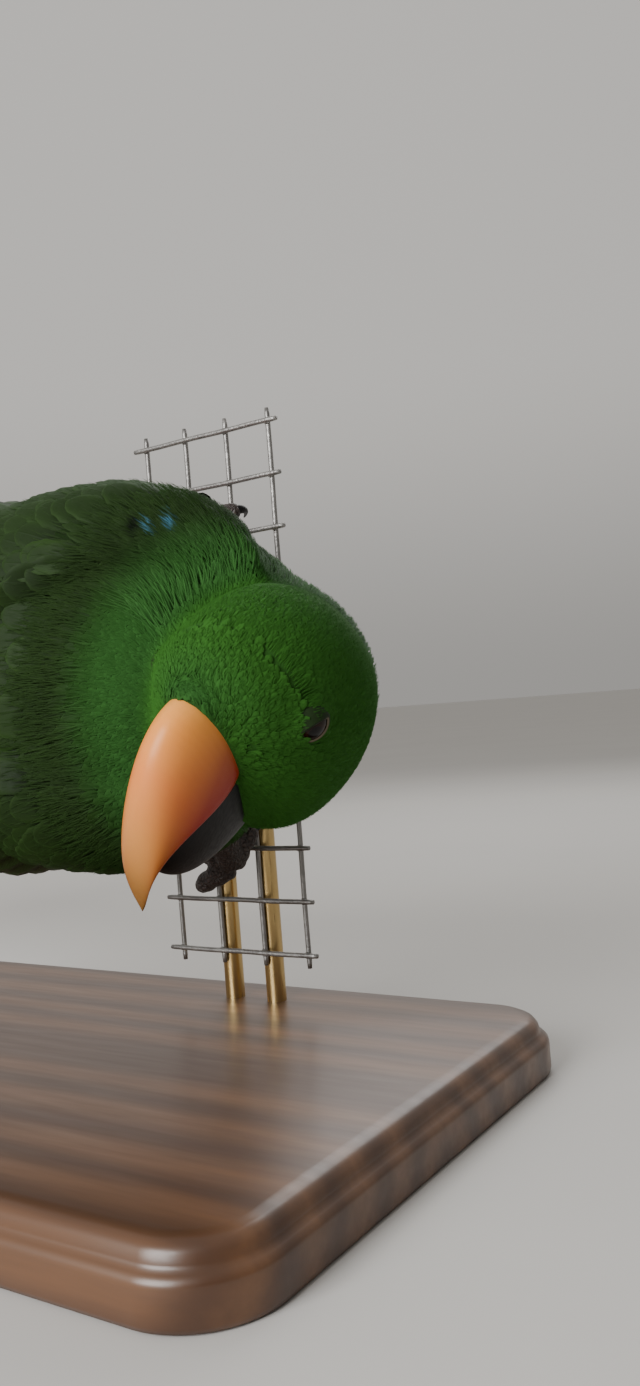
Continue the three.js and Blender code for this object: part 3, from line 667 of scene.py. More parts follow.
def unwrap(points):
    """The body rolled out by angle and length into the lower part of the map, and the head, by how far
    round from the bill, into the upper part."""
    bird, head = to_bird(points), to_head(points)
    on_head = out_of_skull(points) < 1.12
    round_body = 0.5 + np.arctan2(bird[:, 1], bird[:, 2]) / (2 * math.pi)
    body = np.stack([round_body, (bird[:, 0] - UNWRAP["rear"]) / UNWRAP["length"]], -1)
    away = np.arccos(np.clip(unit(head)[:, 0], -1, 1)) / math.pi
    turn = np.arctan2(head[:, 1], head[:, 2])
    face = 0.5 + 0.5 * away[:, None] * np.stack([np.sin(turn), np.cos(turn)], -1)
    return np.where(on_head[:, None], [0.02, 0.52] + [0.96, 0.46] * face, [0.02, 0.02] + [0.96, 0.46] * body)


# %% The outline of a vane
def blade(t, base, shoulder):
    """Width along a feather: it opens from a base share to 1 over the first 0.4, stays, and closes past the
    shoulder as sqrt(1 - 0.97 u^2)."""
    u = np.clip((t - shoulder) / (1 - shoulder), 0, 1)
    return mix(base, 1, ramp(t, 0, 0.4)) * np.sqrt(1 - 0.97 * u**2)


# %% [markdown]
# ## Laying small feathers
# Small feathers grow from roots spread evenly over the skin. Each is laid by three nearest places, at
# its root, middle and tip, so it hugs the body. It rises from root to tip, as shingles do, and every
# feather has its own small turn, length and lift.

# %% Spreading roots
rng = np.random.default_rng(23)
skin_quads = skin_points[corners_of(skin).reshape(-1, 4)]
diagonals = skin_quads[:, 2] - skin_quads[:, 0], skin_quads[:, 3] - skin_quads[:, 1]
skin_area = np.linalg.norm(np.cross(*diagonals), axis=1) / 2
print("skin area, cm2:", round(skin_area.sum() / 100, 1))


def scatter(per_mm2):
    """Random places on the skin: a face by its share of the area, then a random mean of its corners."""
    count = int(skin_area.sum() * per_mm2)
    pick = rng.choice(len(skin_quads), count, p=skin_area / skin_area.sum())
    u, v = rng.random((2, count, 1))
    quad = skin_quads[pick]
    return mix(mix(quad[:, 0], quad[:, 1], u), mix(quad[:, 3], quad[:, 2], u), v)


NEAREST = 0.72
LATTICE = 4096


def thin_out(points, spacing):
    """Keeps one point in each cell of a lattice, the one nearest the cell's middle, then of any two that
    are nearer than 0.72 of the spacing drops one by lot."""
    cell = np.floor(points / spacing).astype(np.int64)
    off = np.linalg.norm(points / spacing - cell - 0.5, axis=1)
    order = np.argsort(off)
    code = (cell[:, 0] * LATTICE + cell[:, 1]) * LATTICE + cell[:, 2]
    _, first = np.unique(code[order], return_index=True)
    kept = order[first]
    points, code = points[kept], code[kept]
    rank = rng.random(len(points))
    order = np.argsort(code)
    points, code, rank = points[order], code[order], rank[order]
    drop = np.zeros(len(points), bool)
    steps = np.array([-1, 0, 1])
    moves = ((steps[:, None, None] * LATTICE + steps[:, None]) * LATTICE + steps).ravel()
    for move in moves[moves != 0]:
        at = np.clip(np.searchsorted(code, code + move), 0, len(code) - 1)
        near = (code[at] == code + move) & (np.linalg.norm(points[at] - points, axis=1) < NEAREST * spacing)
        drop |= near & (rank > rank[at])
    return points[~drop]


# %% The way the coat lies
BILL_BASE = from_head([15, 0, -2])
WAY = {"skull": 24, "fade": 15, "outward": 1.3, "tailward": 1.35, "down_leg": 1.5}


def flat(vectors, normals):
    """Unit vectors, after what points out of the skin is taken off."""
    return unit(vectors - normals * np.einsum("ij,ij->i", vectors, normals)[:, None])


def leg_places(points):
    """For each leg in turn: how far down it and how far from its middle line the points are, and the
    leg's own way down."""
    for leg in LEGS.values():
        hip, ankle = from_bird(leg["hip"]), from_bird(leg["ankle"])
        down = unit(ankle - hip)
        run = (points - hip) @ down
        yield run, np.linalg.norm(points - hip - run[:, None] * down, axis=1), down


def lie(points, normals):
    """On the head feathers point away from the bill's base, round the neck away from the head, on the body
    to the tail and on the legs down, fading from one to the next."""
    distance = np.linalg.norm(points - HEAD_AT, axis=-1)
    on_head = (1 - ramp(out_of_skull(points), 1.0, 1.5))[:, None]
    near = np.exp(-np.maximum(distance - WAY["skull"], 0) / WAY["fade"])[:, None]
    tailward = -BIRD_AXES[0]
    outward = near * WAY["outward"] * unit(points - HEAD_AT) + (WAY["tailward"] - near) * tailward
    way = on_head * unit(points - BILL_BASE) + (1 - on_head) * outward
    for run, off, down in leg_places(points):
        way = way + (WAY["down_leg"] * ramp(run, 4, 14) * (1 - ramp(off, 12, 17)))[:, None] * down
    return flat(way, normals)


# %% Laying feathers over the ground
coat = []


def lay_lines(roots, length, rise, rows, turn, sink):
    """Middle lines of feathers: the parabola through three places on the skin, raised by
    -sink (1 - t)^2 + rise t. turn is the spread of their directions in degrees."""
    start, normal = ground.nearest(roots)
    way = lie(start, normal)
    swing = np.radians(rng.normal(0, turn, len(roots)))[:, None]
    way = unit(way * np.cos(swing) + np.cross(normal, way) * np.sin(swing))
    middle, normal_middle = ground.nearest(start + way * length[:, None] * 0.5)
    onward = flat(unit(middle - start), normal_middle)
    end, normal_end = ground.nearest(middle + onward * length[:, None] * 0.5)
    t = (1 - (1 - np.linspace(0, 1, rows))**1.35)[None, :, None]
    weights = [(1 - t) * (1 - 2 * t), 4 * t * (1 - t), t * (2 * t - 1)]
    line = sum(w * p[:, None] for w, p in zip(weights, [start, middle, end]))
    up = unit(sum(w * p[:, None] for w, p in zip(weights, [normal, normal_middle, normal_end])))
    line = line + up * (rise[:, None, None] * t - sink * (1 - t)**2)
    across = unit(np.cross(up, unit(np.gradient(line, axis=1))))
    return start, line, up, across, t


def feathers(name, roots, length, width, rise, rows=4, columns=3, turn=8, camber=0.16, thickness=0.16,
             rag=0.0, sink=0.35):
    """Lens-shaped feathers. The edges fall by camber * half width * s^2, the sheets part by
    thickness (1 - s^2), and rag moves every other row's sides in by up to that share, as parted barbs do."""
    start, line, up, across, t = lay_lines(roots, length, rise, rows, turn, sink)
    n = len(roots)
    s = np.linspace(-1, 1, columns)[None, None, :]
    half = 0.5 * width[:, None, None] * blade(t, 0.45, 0.55)
    if rag:
        ragged = 1 - rag * rng.random((n, rows, columns)) * (np.arange(rows) % 2)[None, :, None]
        half = half * mix(1, ragged, np.abs(s))
    fall = -camber * half * s**2
    point = line[:, :, None] + across[:, :, None] * (half * s)[..., None] + up[:, :, None] * fall[..., None]
    lens = (0.5 * thickness * (1 - s**2) * (1 - 0.6 * t))[..., None] * up[:, :, None]
    ups = np.broadcast_to(up[:, :, None], point.shape)
    return make_vanes(name, point + lens, point - lens, plumage(point), rng.random(n), unwrap(start), ups)


def strands(name, roots, length, width, rise, rings=3, turn=10, sink=0.2, lighter=1.0):
    """Hair-like barbs: three-sided rings, 0.4 as high as wide, that narrow as 1 - 0.75 t to a point."""
    start, line, up, across, t = lay_lines(roots, length, rise, rings + 1, turn, sink)
    n = len(roots)
    wide = 0.5 * width[:, None, None] * (1 - 0.75 * t) * mix(0.6, 1, ramp(t, 0, 0.3))
    left, top, right = line - across * wide, line + up * wide * 0.8, line + across * wide
    rows = np.stack([left, top, right], 2)[:, :-1].reshape(n, -1, 3)
    points = np.concatenate([rows, line[:, -1:]], 1)
    side = np.tile([-1.0, 0.0, 1.0], rings)
    run = np.repeat(t[0, :-1, 0], 3)
    share = join(np.append(side, 0), np.append(run, 1), rng.random(n)[:, None])
    ups = np.concatenate([np.repeat(up[:, :-1], 3, axis=1), up[:, -1:]], 1)
    return make_tufts(name, points, strand_table(rings), share, plumage(points) * lighter, unwrap(start), ups)


# %% [markdown]
# ## Sharing the skin among the coat's pieces
# Feathers differ by place: tiny and velvety on the face, hair-like round the neck, broad scales on the
# mantle, softer ones below. Roots are labelled by place, and left out where bill, eyes and the long
# wing feathers cover the skin.

# %% Zones of the coat
ZONE = {
    "back": 100, "arm_front": 66, "arm_past": 4, "arm_margin": 3, "wing_margin": 5, "leg_from": 5,
    "leg_radius": 14.5, "belly": 112, "neck": 43, "skull": 1.07, "face": 33,
}


def zones(points):
    """A name for each point's zone, or "bare". Back, belly and the margins are degrees from the spine,
    skull is a share of its radii, and the rest are millimetres."""
    bird, head, inside = to_bird(points), to_head(points), out_of_skull(points)
    distance = np.linalg.norm(points - HEAD_AT, axis=-1) + rng.normal(0, 1.5, len(points))
    degrees = np.degrees(np.arctan2(bird[:, 1], bird[:, 2]))
    x, turn = bird[:, 0], np.abs(degrees)
    low, high = along(WING_EDGES, x, 1), along(WING_EDGES, x, 2)
    zone = np.where(turn < ZONE["back"], "back", "breast").astype(object)
    arm_end, margin, inset = ARM["rear"] - ZONE["arm_past"], ZONE["arm_margin"], ZONE["wing_margin"]
    on_arm = (x > arm_end) & (x < ZONE["arm_front"]) & (turn < low + margin) & (turn > high - margin)
    zone[on_arm & (degrees > 0)] = "coverts_left"
    zone[on_arm & (degrees < 0)] = "coverts_right"
    zone[(x < arm_end) & (turn < low - inset) & (turn > high + inset)] = "bare"
    for run, off, _ in leg_places(points):
        zone[(run > ZONE["leg_from"]) & (off < ZONE["leg_radius"]) & (turn > ZONE["belly"])] = "legs"
    zone[distance < ZONE["neck"]] = "neck"
    zone[(inside < ZONE["skull"]) | ((head[:, 0] > 4) & (distance < ZONE["face"]))] = "head"
    for side in (1, -1):
        off = points - eye_place(side, EYE["radius"])
        ahead, above, _ = eye_axes(side)
        long, short = ALMOND["long"] + ALMOND["bare_long"], ALMOND["short"] + ALMOND["bare_short"]
        oval = np.hypot((off @ ahead - ALMOND["bare_long"]) / long, off @ above / short)
        zone[(np.linalg.norm(off, axis=1) < 9) & (oval < 1)] = "bare"
    return zone


# %% [markdown]
# ## Horn: the bill
# The upper bill is one polished horn that hooks far over the small black lower one. Each half is a
# surface between two curves in the head's middle plane, the ridge and the cutting edge, with a section
# that is round above and nearly flat below. The curves are the CAD part's.

# %% The two halves of the bill
RIDGE = [[20, 9.7], [36.2, 10.5], [37, -14.8], [31.8, -28.9]]
CUTTING_EDGE = [[16.5, -2.1], [19.4, -11.1], [39.3, -10.5], [31.5, -28.4]]
LOWER_EDGE = [[8.8, -6.8], [17.5, -9.3], [27.8, -11.7], [30.4, -18.4]]
CHIN = [[6.8, -23.4], [15.6, -27.8], [25.4, -27.3], [30.6, -19.6]]
BILL = {"upper": 7.5, "lower": 6.6}


def bill_form(upper, lower, half_width, vault_low, vault_high, steps=90, around=64):
    """Rings at t along both curves: bottom + rise * vault + side * half width * sin(a), where the vault is
    cos(a), held above a floor for the upper half or under a ceiling for the lower half."""
    t = np.linspace(0, 1, steps)
    top, bottom = bezier(upper, t), bezier(lower, t)
    rise = top - bottom
    angle = circle(around)[None, :]
    vault = np.cos(angle)
    if vault_low:
        vault = np.where(vault < 0, vault_low * np.tanh(vault / vault_low), vault)
    if vault_high:
        vault = 1 + np.where(vault > 0, vault_high * np.tanh(vault / vault_high), vault)
    forward = bottom[:, 0, None] + rise[:, 0, None] * vault
    height = bottom[:, 1, None] + rise[:, 1, None] * vault
    left = half_width(t)[:, None] * np.sin(angle)
    return from_head(np.stack([forward, left, height], -1)), t, angle


def upper_width(t):
    """7.5 (1 - t^1.9)^0.72, and never quite nothing."""
    return BILL["upper"] * np.maximum(0.004, 1 - t**1.9)**0.72


def lower_width(t):
    """6.6 sqrt(1 - t^3), and at least 0.3 of it."""
    return BILL["lower"] * np.sqrt(np.maximum(0.09, 1 - t**3))


def make_bill(name, form, node, slot):
    """The mesh, with how far along the bill and how far up its side each point is."""
    grid, t, angle = form
    piece = make_form(name, shell(grid))
    run = np.concatenate([np.repeat(t, grid.shape[1]), [0, 1]])
    crown = np.concatenate([np.tile(np.cos(angle[0]), len(t)), [0, 0]])
    side = np.concatenate([np.tile(np.sin(angle[0]), len(t)), [0, 0]])
    store(piece, "horn", np.stack([run, crown, side], -1))
    return keep_with(piece, slot, node)


upper_form = bill_form(RIDGE, CUTTING_EDGE, upper_width, vault_low=0.12, vault_high=0)
lower_form = bill_form(LOWER_EDGE, CHIN, lower_width, vault_low=0, vault_high=0.12)
upper_bill = make_bill("upper_bill", upper_form, "bill_upper", "upper_bill")
lower_bill = make_bill("lower_bill", lower_form, "bill_lower", "lower_bill")

# %% Keep roots out of the bill
horn_ground = []
for piece in (upper_bill, lower_bill):
    quads = [list(p.vertices) for p in piece.data.polygons]
    horn_ground.append(BVHTree.FromPolygons(points_of(piece).tolist(), quads))


def inside_horn(points, margin):
    """True where a point is inside either half of the bill, or nearer to it than the margin."""
    inside = np.zeros(len(points), bool)
    for tree in horn_ground:
        hits = [tree.find_nearest(p) for p in points.tolist()]
        place = np.array([tuple(h[0]) for h in hits])
        normal = np.array([tuple(h[1]) for h in hits])
        inside |= np.einsum("ij,ij->i", points - place, normal) < margin
    return inside


# %% [markdown]
# ## The coat
# Now each zone is laid. The head takes thousands of tiny feathers, the neck narrow ones that read as
# fine hair, and the rest of the body broader ones in several sizes.

# %% Roots of every zone
def roots_for(spacing, name):
    """Evenly spread roots in a zone, kept out of the bill."""
    points = thin_out(scatter(9 / spacing**2), spacing)
    points = points[zones(points) == name]
    return points[~inside_horn(points, 0.05)]


def some(count, low, high):
    """Random numbers between two values."""
    return rng.uniform(low, high, count)


def fuller(roots):
    """How much higher the coat stands: up to 0.7 mm on the chin and 0.25 mm on the brow over each eye."""
    head = to_head(roots)
    chin = ramp(-head[:, 2], 10, 20) * ramp(head[:, 0], -8, 2)
    brow = np.hypot(head[:, 0] - EYE["opening"][0] - 1, head[:, 2] - EYE["opening"][2] - 4)
    return 0.7 * chin + 0.25 * (1 - ramp(brow, 2, 5.5)) * (np.abs(head[:, 1]) > 8)


def face_size(roots):
    """0 at the bill's base and at the lids, 1 at the nape."""
    size = ramp(np.linalg.norm(roots - BILL_BASE, axis=1), 8, 40)
    for side in (1, -1):
        size = size * ramp(np.linalg.norm(roots - eye_place(side, EYE["radius"]), axis=1), 2.5, 8)
    return size


# %% Head: a close layer, then velvet
roots = roots_for(0.95, "head")
count, size = len(roots), face_size(roots)
feathers("head_feathers", roots, length=mix(2.6, 5.0, size) * some(count, 0.9, 1.1),
         width=mix(1.6, 2.6, size), rise=mix(0.35, 0.55, size) + fuller(roots), rows=5, turn=5,
         camber=0.06, thickness=0.08, sink=0.15)
roots = roots_for(0.4, "head")
rng.shuffle(roots)
for number, share in enumerate(np.array_split(roots, 3)):
    count, size = len(share), face_size(share)
    strands(f"head_velvet_{number + 1}", share, length=mix(1.3, 3.8, size) * some(count, 0.8, 1.2),
            width=mix(0.28, 0.42, size), rise=mix(0.5, 0.75, size) * some(count, 0.85, 1.1) + fuller(share),
            turn=8, sink=0.1)

# %% Neck, legs, breast, mantle and the small coverts
def layer(name, kind, spacing, zone, length, width, rise, larger_behind=0, **more):
    """One layer of the coat: roots in a zone, and a random length, width and rise between two values.
    Feathers can be larger towards the tail, by a share."""
    roots = roots_for(spacing, zone)
    count = len(roots)
    size = 1 + larger_behind * ramp(-to_bird(roots)[:, 0], 0, 80)
    kind(name, roots, length=some(count, *length) * size, width=some(count, *width) * size**0.5,
         rise=some(count, *rise), **more)


layer("neck_feathers", feathers, 1.7, "neck", (6, 8), (1.9, 2.6), (0.7, 1.0), rows=5, columns=5, turn=8,
      camber=0.1, thickness=0.12, rag=0.35)
layer("neck_barbs", strands, 0.55, "neck", (5, 8.5), (0.3, 0.48), (1.1, 1.6), turn=9, lighter=1.2)
layer("leg_feathers", feathers, 1.5, "legs", (5, 7), (2.2, 3), (0.7, 1.0), turn=8, camber=0.1,
      thickness=0.12, rag=0.3)
layer("leg_barbs", strands, 0.95, "legs", (4, 6.5), (0.4, 0.6), (0.9, 1.4), turn=10)
layer("breast_feathers", feathers, 2.5, "breast", (8.5, 11), (4.4, 5.8), (1.1, 1.6), rows=7, columns=5,
      turn=7, camber=0.12, thickness=0.14, rag=0.35)
layer("breast_barbs", strands, 1.35, "breast", (4, 7), (0.35, 0.55), (1.4, 1.9), turn=12, lighter=1.1)
for name, zone in (("back", "back"), ("covert_left", "coverts_left"), ("covert_right", "coverts_right")):
    layer(f"{name}_feathers", feathers, 3.4, zone, (9, 12), (7.0, 8.6), (1.2, 1.6), larger_behind=0.35,
          rows=9, columns=7, turn=6, camber=0.1, thickness=0.14, rag=0.12)
    layer(f"{name}_barbs", strands, 1.5, zone, (3, 5), (0.28, 0.42), (1.25, 1.65), turn=7, lighter=1.1)

# %% [markdown]
# ## The long feathers of wing and tail
# Flight feathers are stiff vanes in tiers: primaries reach the wing's tip, secondaries lie over them and
# the greater coverts over those. Each tilts a little, so its low edge lies on its neighbour like a slat.
# The tiers' numbers follow the CAD part's, with more and thinner feathers. Linings under the
# secondaries lean down to the back, so that no light comes through between wing and body; their
# darker green is painted shade.

# %% The tiers of the wing
TIERS = {
    "primaries": {
        "count": 9, "tips": [-171, -182, -183, -171, -156, -140, -125], "pitch": 0.8, "root": 8,
        "half": [3.6, 4.1], "first": [3.6, 3.8], "spacing": [3.45, 1.95], "to": -120, "height": [0, 0.3],
        "lowest": 1},
    "secondaries": {
        "count": 9, "tips": [-102, -95, -87, -78, -68], "pitch": 0.6, "root": 6, "half": [5.4, 7],
        "first": [20, 10.5], "spacing": [3.5, 1.45], "to": -90, "height": [0.2, 4.7], "lowest": 1},
    "coverts": {
        "count": 11, "tips": [-14, -19, -22, -24, -25, -25], "pitch": 0.7, "root": 24, "half": [4.4, 5.4],
        "first": [8, 6], "spacing": [3.7, 2.9], "to": -25, "height": [0, 5.4], "lowest": 0.45},
    "linings": {
        "count": 4, "tips": [-124, -114, -104, -94], "pitch": 1, "root": 6, "half": [8, 9],
        "first": [47, 25], "spacing": [2, 2], "to": -90, "height": [-0.6, -0.6], "lowest": 1},
}


def tier_vanes(side, tier, rows=22, columns=9):
    """Middle + spacing * number + across * half width gives the millimetres up the wing, and the height
    is height(t) + tilt (half width - across), with tilt = pitch / spacing."""
    share = np.linspace(0, 1, tier["count"])[:, None, None]
    tip = np.interp(share, np.linspace(0, 1, len(tier["tips"])), tier["tips"])
    half = mix(*tier["half"], share)
    t = (1 - (1 - np.linspace(0, 1, rows))**1.6)[None, :, None]
    s = np.linspace(-1, 1, columns)[None, None, :]
    x = mix(tier["root"], tip, t)
    rear = np.clip((x - 20) / (tier["to"] - 20), 0, 1)
    spacing = mix(*tier["spacing"], rear)
    centre = mix(*tier["first"], rear) + spacing * share * (tier["count"] - 1)
    y = s * half * blade(t, 0.7, 0.78)
    rise = mix(tier["lowest"], 1, np.minimum(1, 2 * share))
    tilt = tier["pitch"] / np.maximum(spacing, 1.6)
    height = rise * mix(*tier["height"], ramp(t, 0, 0.4)) + tilt * (half - y)
    lens = 0.14 * (1 - s**2) * (1 - 0.5 * t)
    top = on_wing(side, x + 0 * s, centre + y, height + lens)
    bottom = on_wing(side, x + 0 * s, centre + y, height - lens)
    return top, bottom, np.broadcast_to(s, y.shape), np.broadcast_to(t, y.shape), share


WING_BLUE, TIP_BLACK, WEB_BLACK = (0.012, 0.05, 0.16), (0.008, 0.012, 0.014), (0.012, 0.02, 0.012)


def wing_colour(kind, s, t, share):
    """Green vanes. Primaries have a blue outer web and a dark tip; the inner webs darken."""
    colour = np.broadcast_to(np.array(GREEN["wing"]), s.shape + (3,)).copy()
    if kind == "primaries":
        colour = blend_colour(colour, WING_BLUE, (1 - ramp(s, -0.7, -0.1)) * (1 - 0.4 * share))
        colour = blend_colour(colour, TIP_BLACK, ramp(t, 0.62, 0.95))
    # The linings' darker green is painted shade for the gap between wing and body.
    if kind == "linings":
        colour = colour * 0.6
    return blend_colour(colour, WEB_BLACK, 0.6 * ramp(s, 0.2, 0.9))


for side, name in ((1, "left"), (-1, "right")):
    tops, bottoms, colours, roots = [], [], [], []
    for kind, tier in TIERS.items():
        top, bottom, s, t, share = tier_vanes(side, tier)
        tops.append(top)
        bottoms.append(bottom)
        colours.append(wing_colour(kind, s, t, share))
        roots.append(top[:, 4, 4])
    top, bottom, colour = np.concatenate(tops), np.concatenate(bottoms), np.concatenate(colours)
    tone, spots = rng.random(len(top)), unwrap(np.concatenate(roots))
    piece = make_vanes(f"wing_feathers_{name}", top, bottom, colour, tone, spots)
    keep_with(piece, "flight_feathers", f"wing_{name}")

# %% The tail's twelve feathers
TAIL = {
    "root": -98, "tip": -222, "rounding": 0.8, "tip_half": 28, "root_spacing": 1.5, "pairs": 6,
    "half": 8.4, "lap": 3, "sag": 3,
}
TAIL_BLUE, TAIL_YELLOW = (0.02, 0.08, 0.14), (0.42, 0.36, 0.06)


def tail_vanes(rows=26, columns=11):
    """Pair k lies spacing (k + 0.3) out from the middle, on an arch that falls by sag (out / half)^2, and
    each pair lies a little under the pair inside it."""
    t = (1 - (1 - np.linspace(0, 1, rows))**1.5)[:, None]
    s = np.linspace(-1, 1, columns)[None, :]
    tops, bottoms, colours = [], [], []

    def place(x, out, height):
        return from_bird(join(x, out, height))

    for side in (1, -1):
        for k in range(TAIL["pairs"]):
            spacing = mix(TAIL["root_spacing"], TAIL["tip_half"] / TAIL["pairs"], t)
            y = s * TAIL["half"] * blade(t, 0.35, 0.86)
            on_top = k == 0 and side > 0
            out = spacing * (k + 0.3) + y
            out = np.maximum(out, -TAIL["lap"]) if on_top else out
            lift = 1.2 + 0.5 * on_top if k == 0 else 0.45 * (y / spacing - k)
            x = mix(TAIL["root"], TAIL["tip"] + TAIL["rounding"] * k**2, t)
            height = lift - TAIL["sag"] * (out / TAIL["tip_half"])**2
            lens = 0.16 * (1 - s**2) * (1 - 0.5 * t)
            tops.append(place(x, side * out, height + lens))
            bottoms.append(place(x, side * out, height - lens))
            colour = np.broadcast_to(np.array(GREEN["wing"]) * 1.15, (rows, columns, 3))
            colour = blend_colour(colour, TAIL_BLUE, 0.12 * k)
            colours.append(blend_colour(colour, TAIL_YELLOW, ramp(t + 0 * s, 0.93, 0.965)))
    return np.array(tops), np.array(bottoms), np.array(colours)


top, bottom, colour = tail_vanes()
tail = make_vanes("tail_feathers", top, bottom, colour, rng.random(len(top)), unwrap(top[:, 3, 5]))
keep_with(tail, "flight_feathers", "tail")

# %% The skin and coat stand for the nodes of flesh
store(skin, "plumage", plumage(skin_points))
keep_with(skin, "body_feathers", "torso", "neck", "head", "leg_left", "leg_right")
for piece in coat:
    if piece not in model:
        keep_with(piece, "body_feathers")

# %% [markdown]
# ## Eyes and lids
# A parrot's eye is a small wet ball with a very dark iris. The bare lids leave an almond-shaped opening
# with a thin pale rim, and dip under the feathers all round. The ball is a sphere with a slight corneal
# bulge, and carries the angle from its line of sight, so that the material can paint pupil and iris.
# The lids are a thick bowl on the ball: rings that run from the almond's edge out and back inside.

# %% Balls and lids
def on_ball(side, direction, radius):
    """centre + radius * unit(x * long axis + y * short axis + z * line of sight)."""
    axes = np.stack(eye_axes(side))
    return eye_place(side, 0) + radius[..., None] * (unit(direction) @ axes)


def eyeball(side, rings=40, around=48):
    """The ball as a closed form, and the angle from the line of sight of each of its points."""
    angle = np.linspace(0.01, math.pi - 0.01, rings)[:, None]
    turn = circle(around)[None, :]
    radius = EYE["radius"] * (1 + 0.015 * (1 - ramp(angle, 0.2, 0.75)))
    direction = join(np.sin(angle) * np.cos(turn), np.sin(angle) * np.sin(turn), np.cos(angle))
    off_axis = np.concatenate([np.repeat(angle[:, 0], around), [0, math.pi]])
    return shell(on_ball(side, direction, radius + 0 * turn)), off_axis


def eye_lids(side, around=96, steps=18):
    """The lids' bowl as a closed form, with each point's angle from the opening's edge and how low it is.
    The outside has a swollen rim, pebbles and a fall to the rear; the inside lies close on the ball."""
    turn = circle(around)
    pinched = np.sin(turn) * np.abs(np.sin(turn))**0.3
    edge = np.stack([ALMOND["long"] * np.cos(turn), ALMOND["short"] * pinched], -1)
    depth = np.sqrt(np.maximum(1, EYE["radius"]**2 - (edge**2).sum(1)))
    edge = np.column_stack([edge, depth]) / EYE["radius"]
    back = np.column_stack([np.cos(turn), np.sin(turn), np.full(around, -0.05)])
    out = np.linspace(0, 1, steps)[None, :, None]
    direction = unit(mix(edge[:, None], back[:, None], out**1.5))
    away = np.arccos(np.clip(np.einsum("ijk,ik->ij", direction, unit(edge)), -1, 1))
    pebbles = 0.03 * np.sin(34 * turn)[:, None] * np.sin(60 * away) * (1 - ramp(away, 0.3, 0.6))
    outer = EYE["radius"] + 0.08 + 0.16 * ramp(away, -0.02, 0.07) + 0.1 * np.exp(-((away - 0.08) / 0.05)**2)
    outer = outer + pebbles - 0.12 * ramp(away, 0.25, 0.8)
    inside = unit(mix(edge[:, None] * 0.99, back[:, None], 1 - out[:, ::2]))
    inner = np.full(inside.shape[:2], EYE["radius"] * 1.004)
    grid = on_ball(side, np.concatenate([direction, inside], 1), np.concatenate([outer, inner], 1))
    share = np.concatenate([away, np.zeros(inside.shape[:2])], 1)
    lower = ramp(-np.sin(turn) - 0.6 * np.cos(turn), -0.2, 0.7)[:, None] + 0 * share
    return hoop(grid), np.stack([share, lower, 0 * share], -1).reshape(-1, 3)


for side, name in ((1, "left"), (-1, "right")):
    form, off_axis = eyeball(side)
    ball = make_form(f"eyeball_{name}", form)
    store(ball, "gaze", np.stack([off_axis, 0 * off_axis, 0 * off_axis], -1))
    keep_with(ball, "eye", f"eye_{name}")
    form, edges = eye_lids(side)
    lid = make_form(f"eye_lids_{name}", form)
    store(lid, "rim", edges)
    keep_with(lid, "foot_skin")

# %% [markdown]
# ## Feet and claws
# Two toes point forward and two back, as on every parrot. Toes and shank are tubes with swellings at
# the joints, fused by a fine voxel remesh. Claws are curved cones.

# %% Feet
FEET = {
    "left": {
        "palm": [30, 38, 127.5],
        "toes": [([40.2, 39.8, 131.2], [37.4, 45, 130.2]), ([38, 39.8, 121.5], [39.6, 44.6, 119.6]),
                 ([21.4, 39.8, 131.6], [19.4, 44.6, 133.2]), ([22, 39.8, 121.5], [19.8, 44.6, 119.8])]},
    "right": {
        "palm": [31.5, 38, 46.5],
        "toes": [([19.8, 39.6, 40.8], [17.4, 44.6, 41.2]), ([21.6, 39.6, 50.4], [19.2, 44.6, 52.4]),
                 ([37.8, 39.6, 55.4], [39.4, 44.6, 57.4]), ([28.4, 39.6, 58.6], [28, 44.6, 61])]},
}
TOE = {"knuckle": 3.1, "tip": 2.1, "arch": 1.6, "shin": 3.5}
CLAW = {"radius": 1.15, "inset": 0.8, "reach": 1, "bulge": 1.5}


def toe_path(palm, end, count):
    """An arc from the palm over a low arch to the toe's end."""
    return arc([palm, mix(palm, end, 0.55) - [0, TOE["arch"], 0], end], count)


def toe_form(palm, end):
    """The toe's closed tube with three pads, and its middle line."""
    t = np.linspace(0, 1, 40)
    path = toe_path(palm, end, 40)
    pads = 1 + 0.07 * np.cos(2 * math.pi * 3 * t) * ramp(t, 0, 0.2)
    radius = round_ends(mix(TOE["knuckle"], TOE["tip"], t) * pads, t, 0.12, 0.16)
    return shell(tube(path, radius, 24)), path


def claw_form(path, end, hook):
    """A cone that leaves the toe the way its line points and curves to the hook: the radius falls as
    1 - 0.86 t^1.4."""
    outward = unit(path[-1] - path[-4])
    middle = mix(end + outward * 0.1, hook, 0.5) + outward * CLAW["bulge"]
    corners = [end - outward * CLAW["inset"], end + outward * CLAW["reach"], middle, hook]
    t = np.linspace(0, 1, 24)
    return shell(tube(bezier(corners, t), CLAW["radius"] * (1 - 0.86 * t**1.4), 16))


for name, foot in FEET.items():
    ankle, palm = from_bird(LEGS[name]["ankle"]), np.array(foot["palm"], float)
    shin = round_ends(TOE["shin"], np.linspace(0, 1, 40), 0.1, 0.12)
    parts = [shell(tube(arc([ankle, (ankle + palm) / 2, palm], 40), shin, 24))]
    for number, (end, hook) in enumerate(np.array(foot["toes"], float)):
        toe, path = toe_form(palm, end)
        parts.append(toe)
        claw = make_form(f"claw_{name}_{number + 1}_horn", claw_form(path, end, hook))
        keep_with(claw, "claw", f"claw_{name}_{number + 1}")
    flesh = make_form(f"foot_{name}_skin", *parts)
    fuse(flesh, voxel=0.42, rounds=4)
    keep_with(flesh, "foot_skin", f"foot_{name}")

# %% [markdown]
# ## The cut of mesh and the stand
# The perch is half-inch welded mesh, galvanised after welding, so zinc fills the crossings a little. It
# is clipped to two brass rods that stand in a small varnished board. Round wires, lathe-like rods and
# a moulded board edge are all profiles carried along a path.

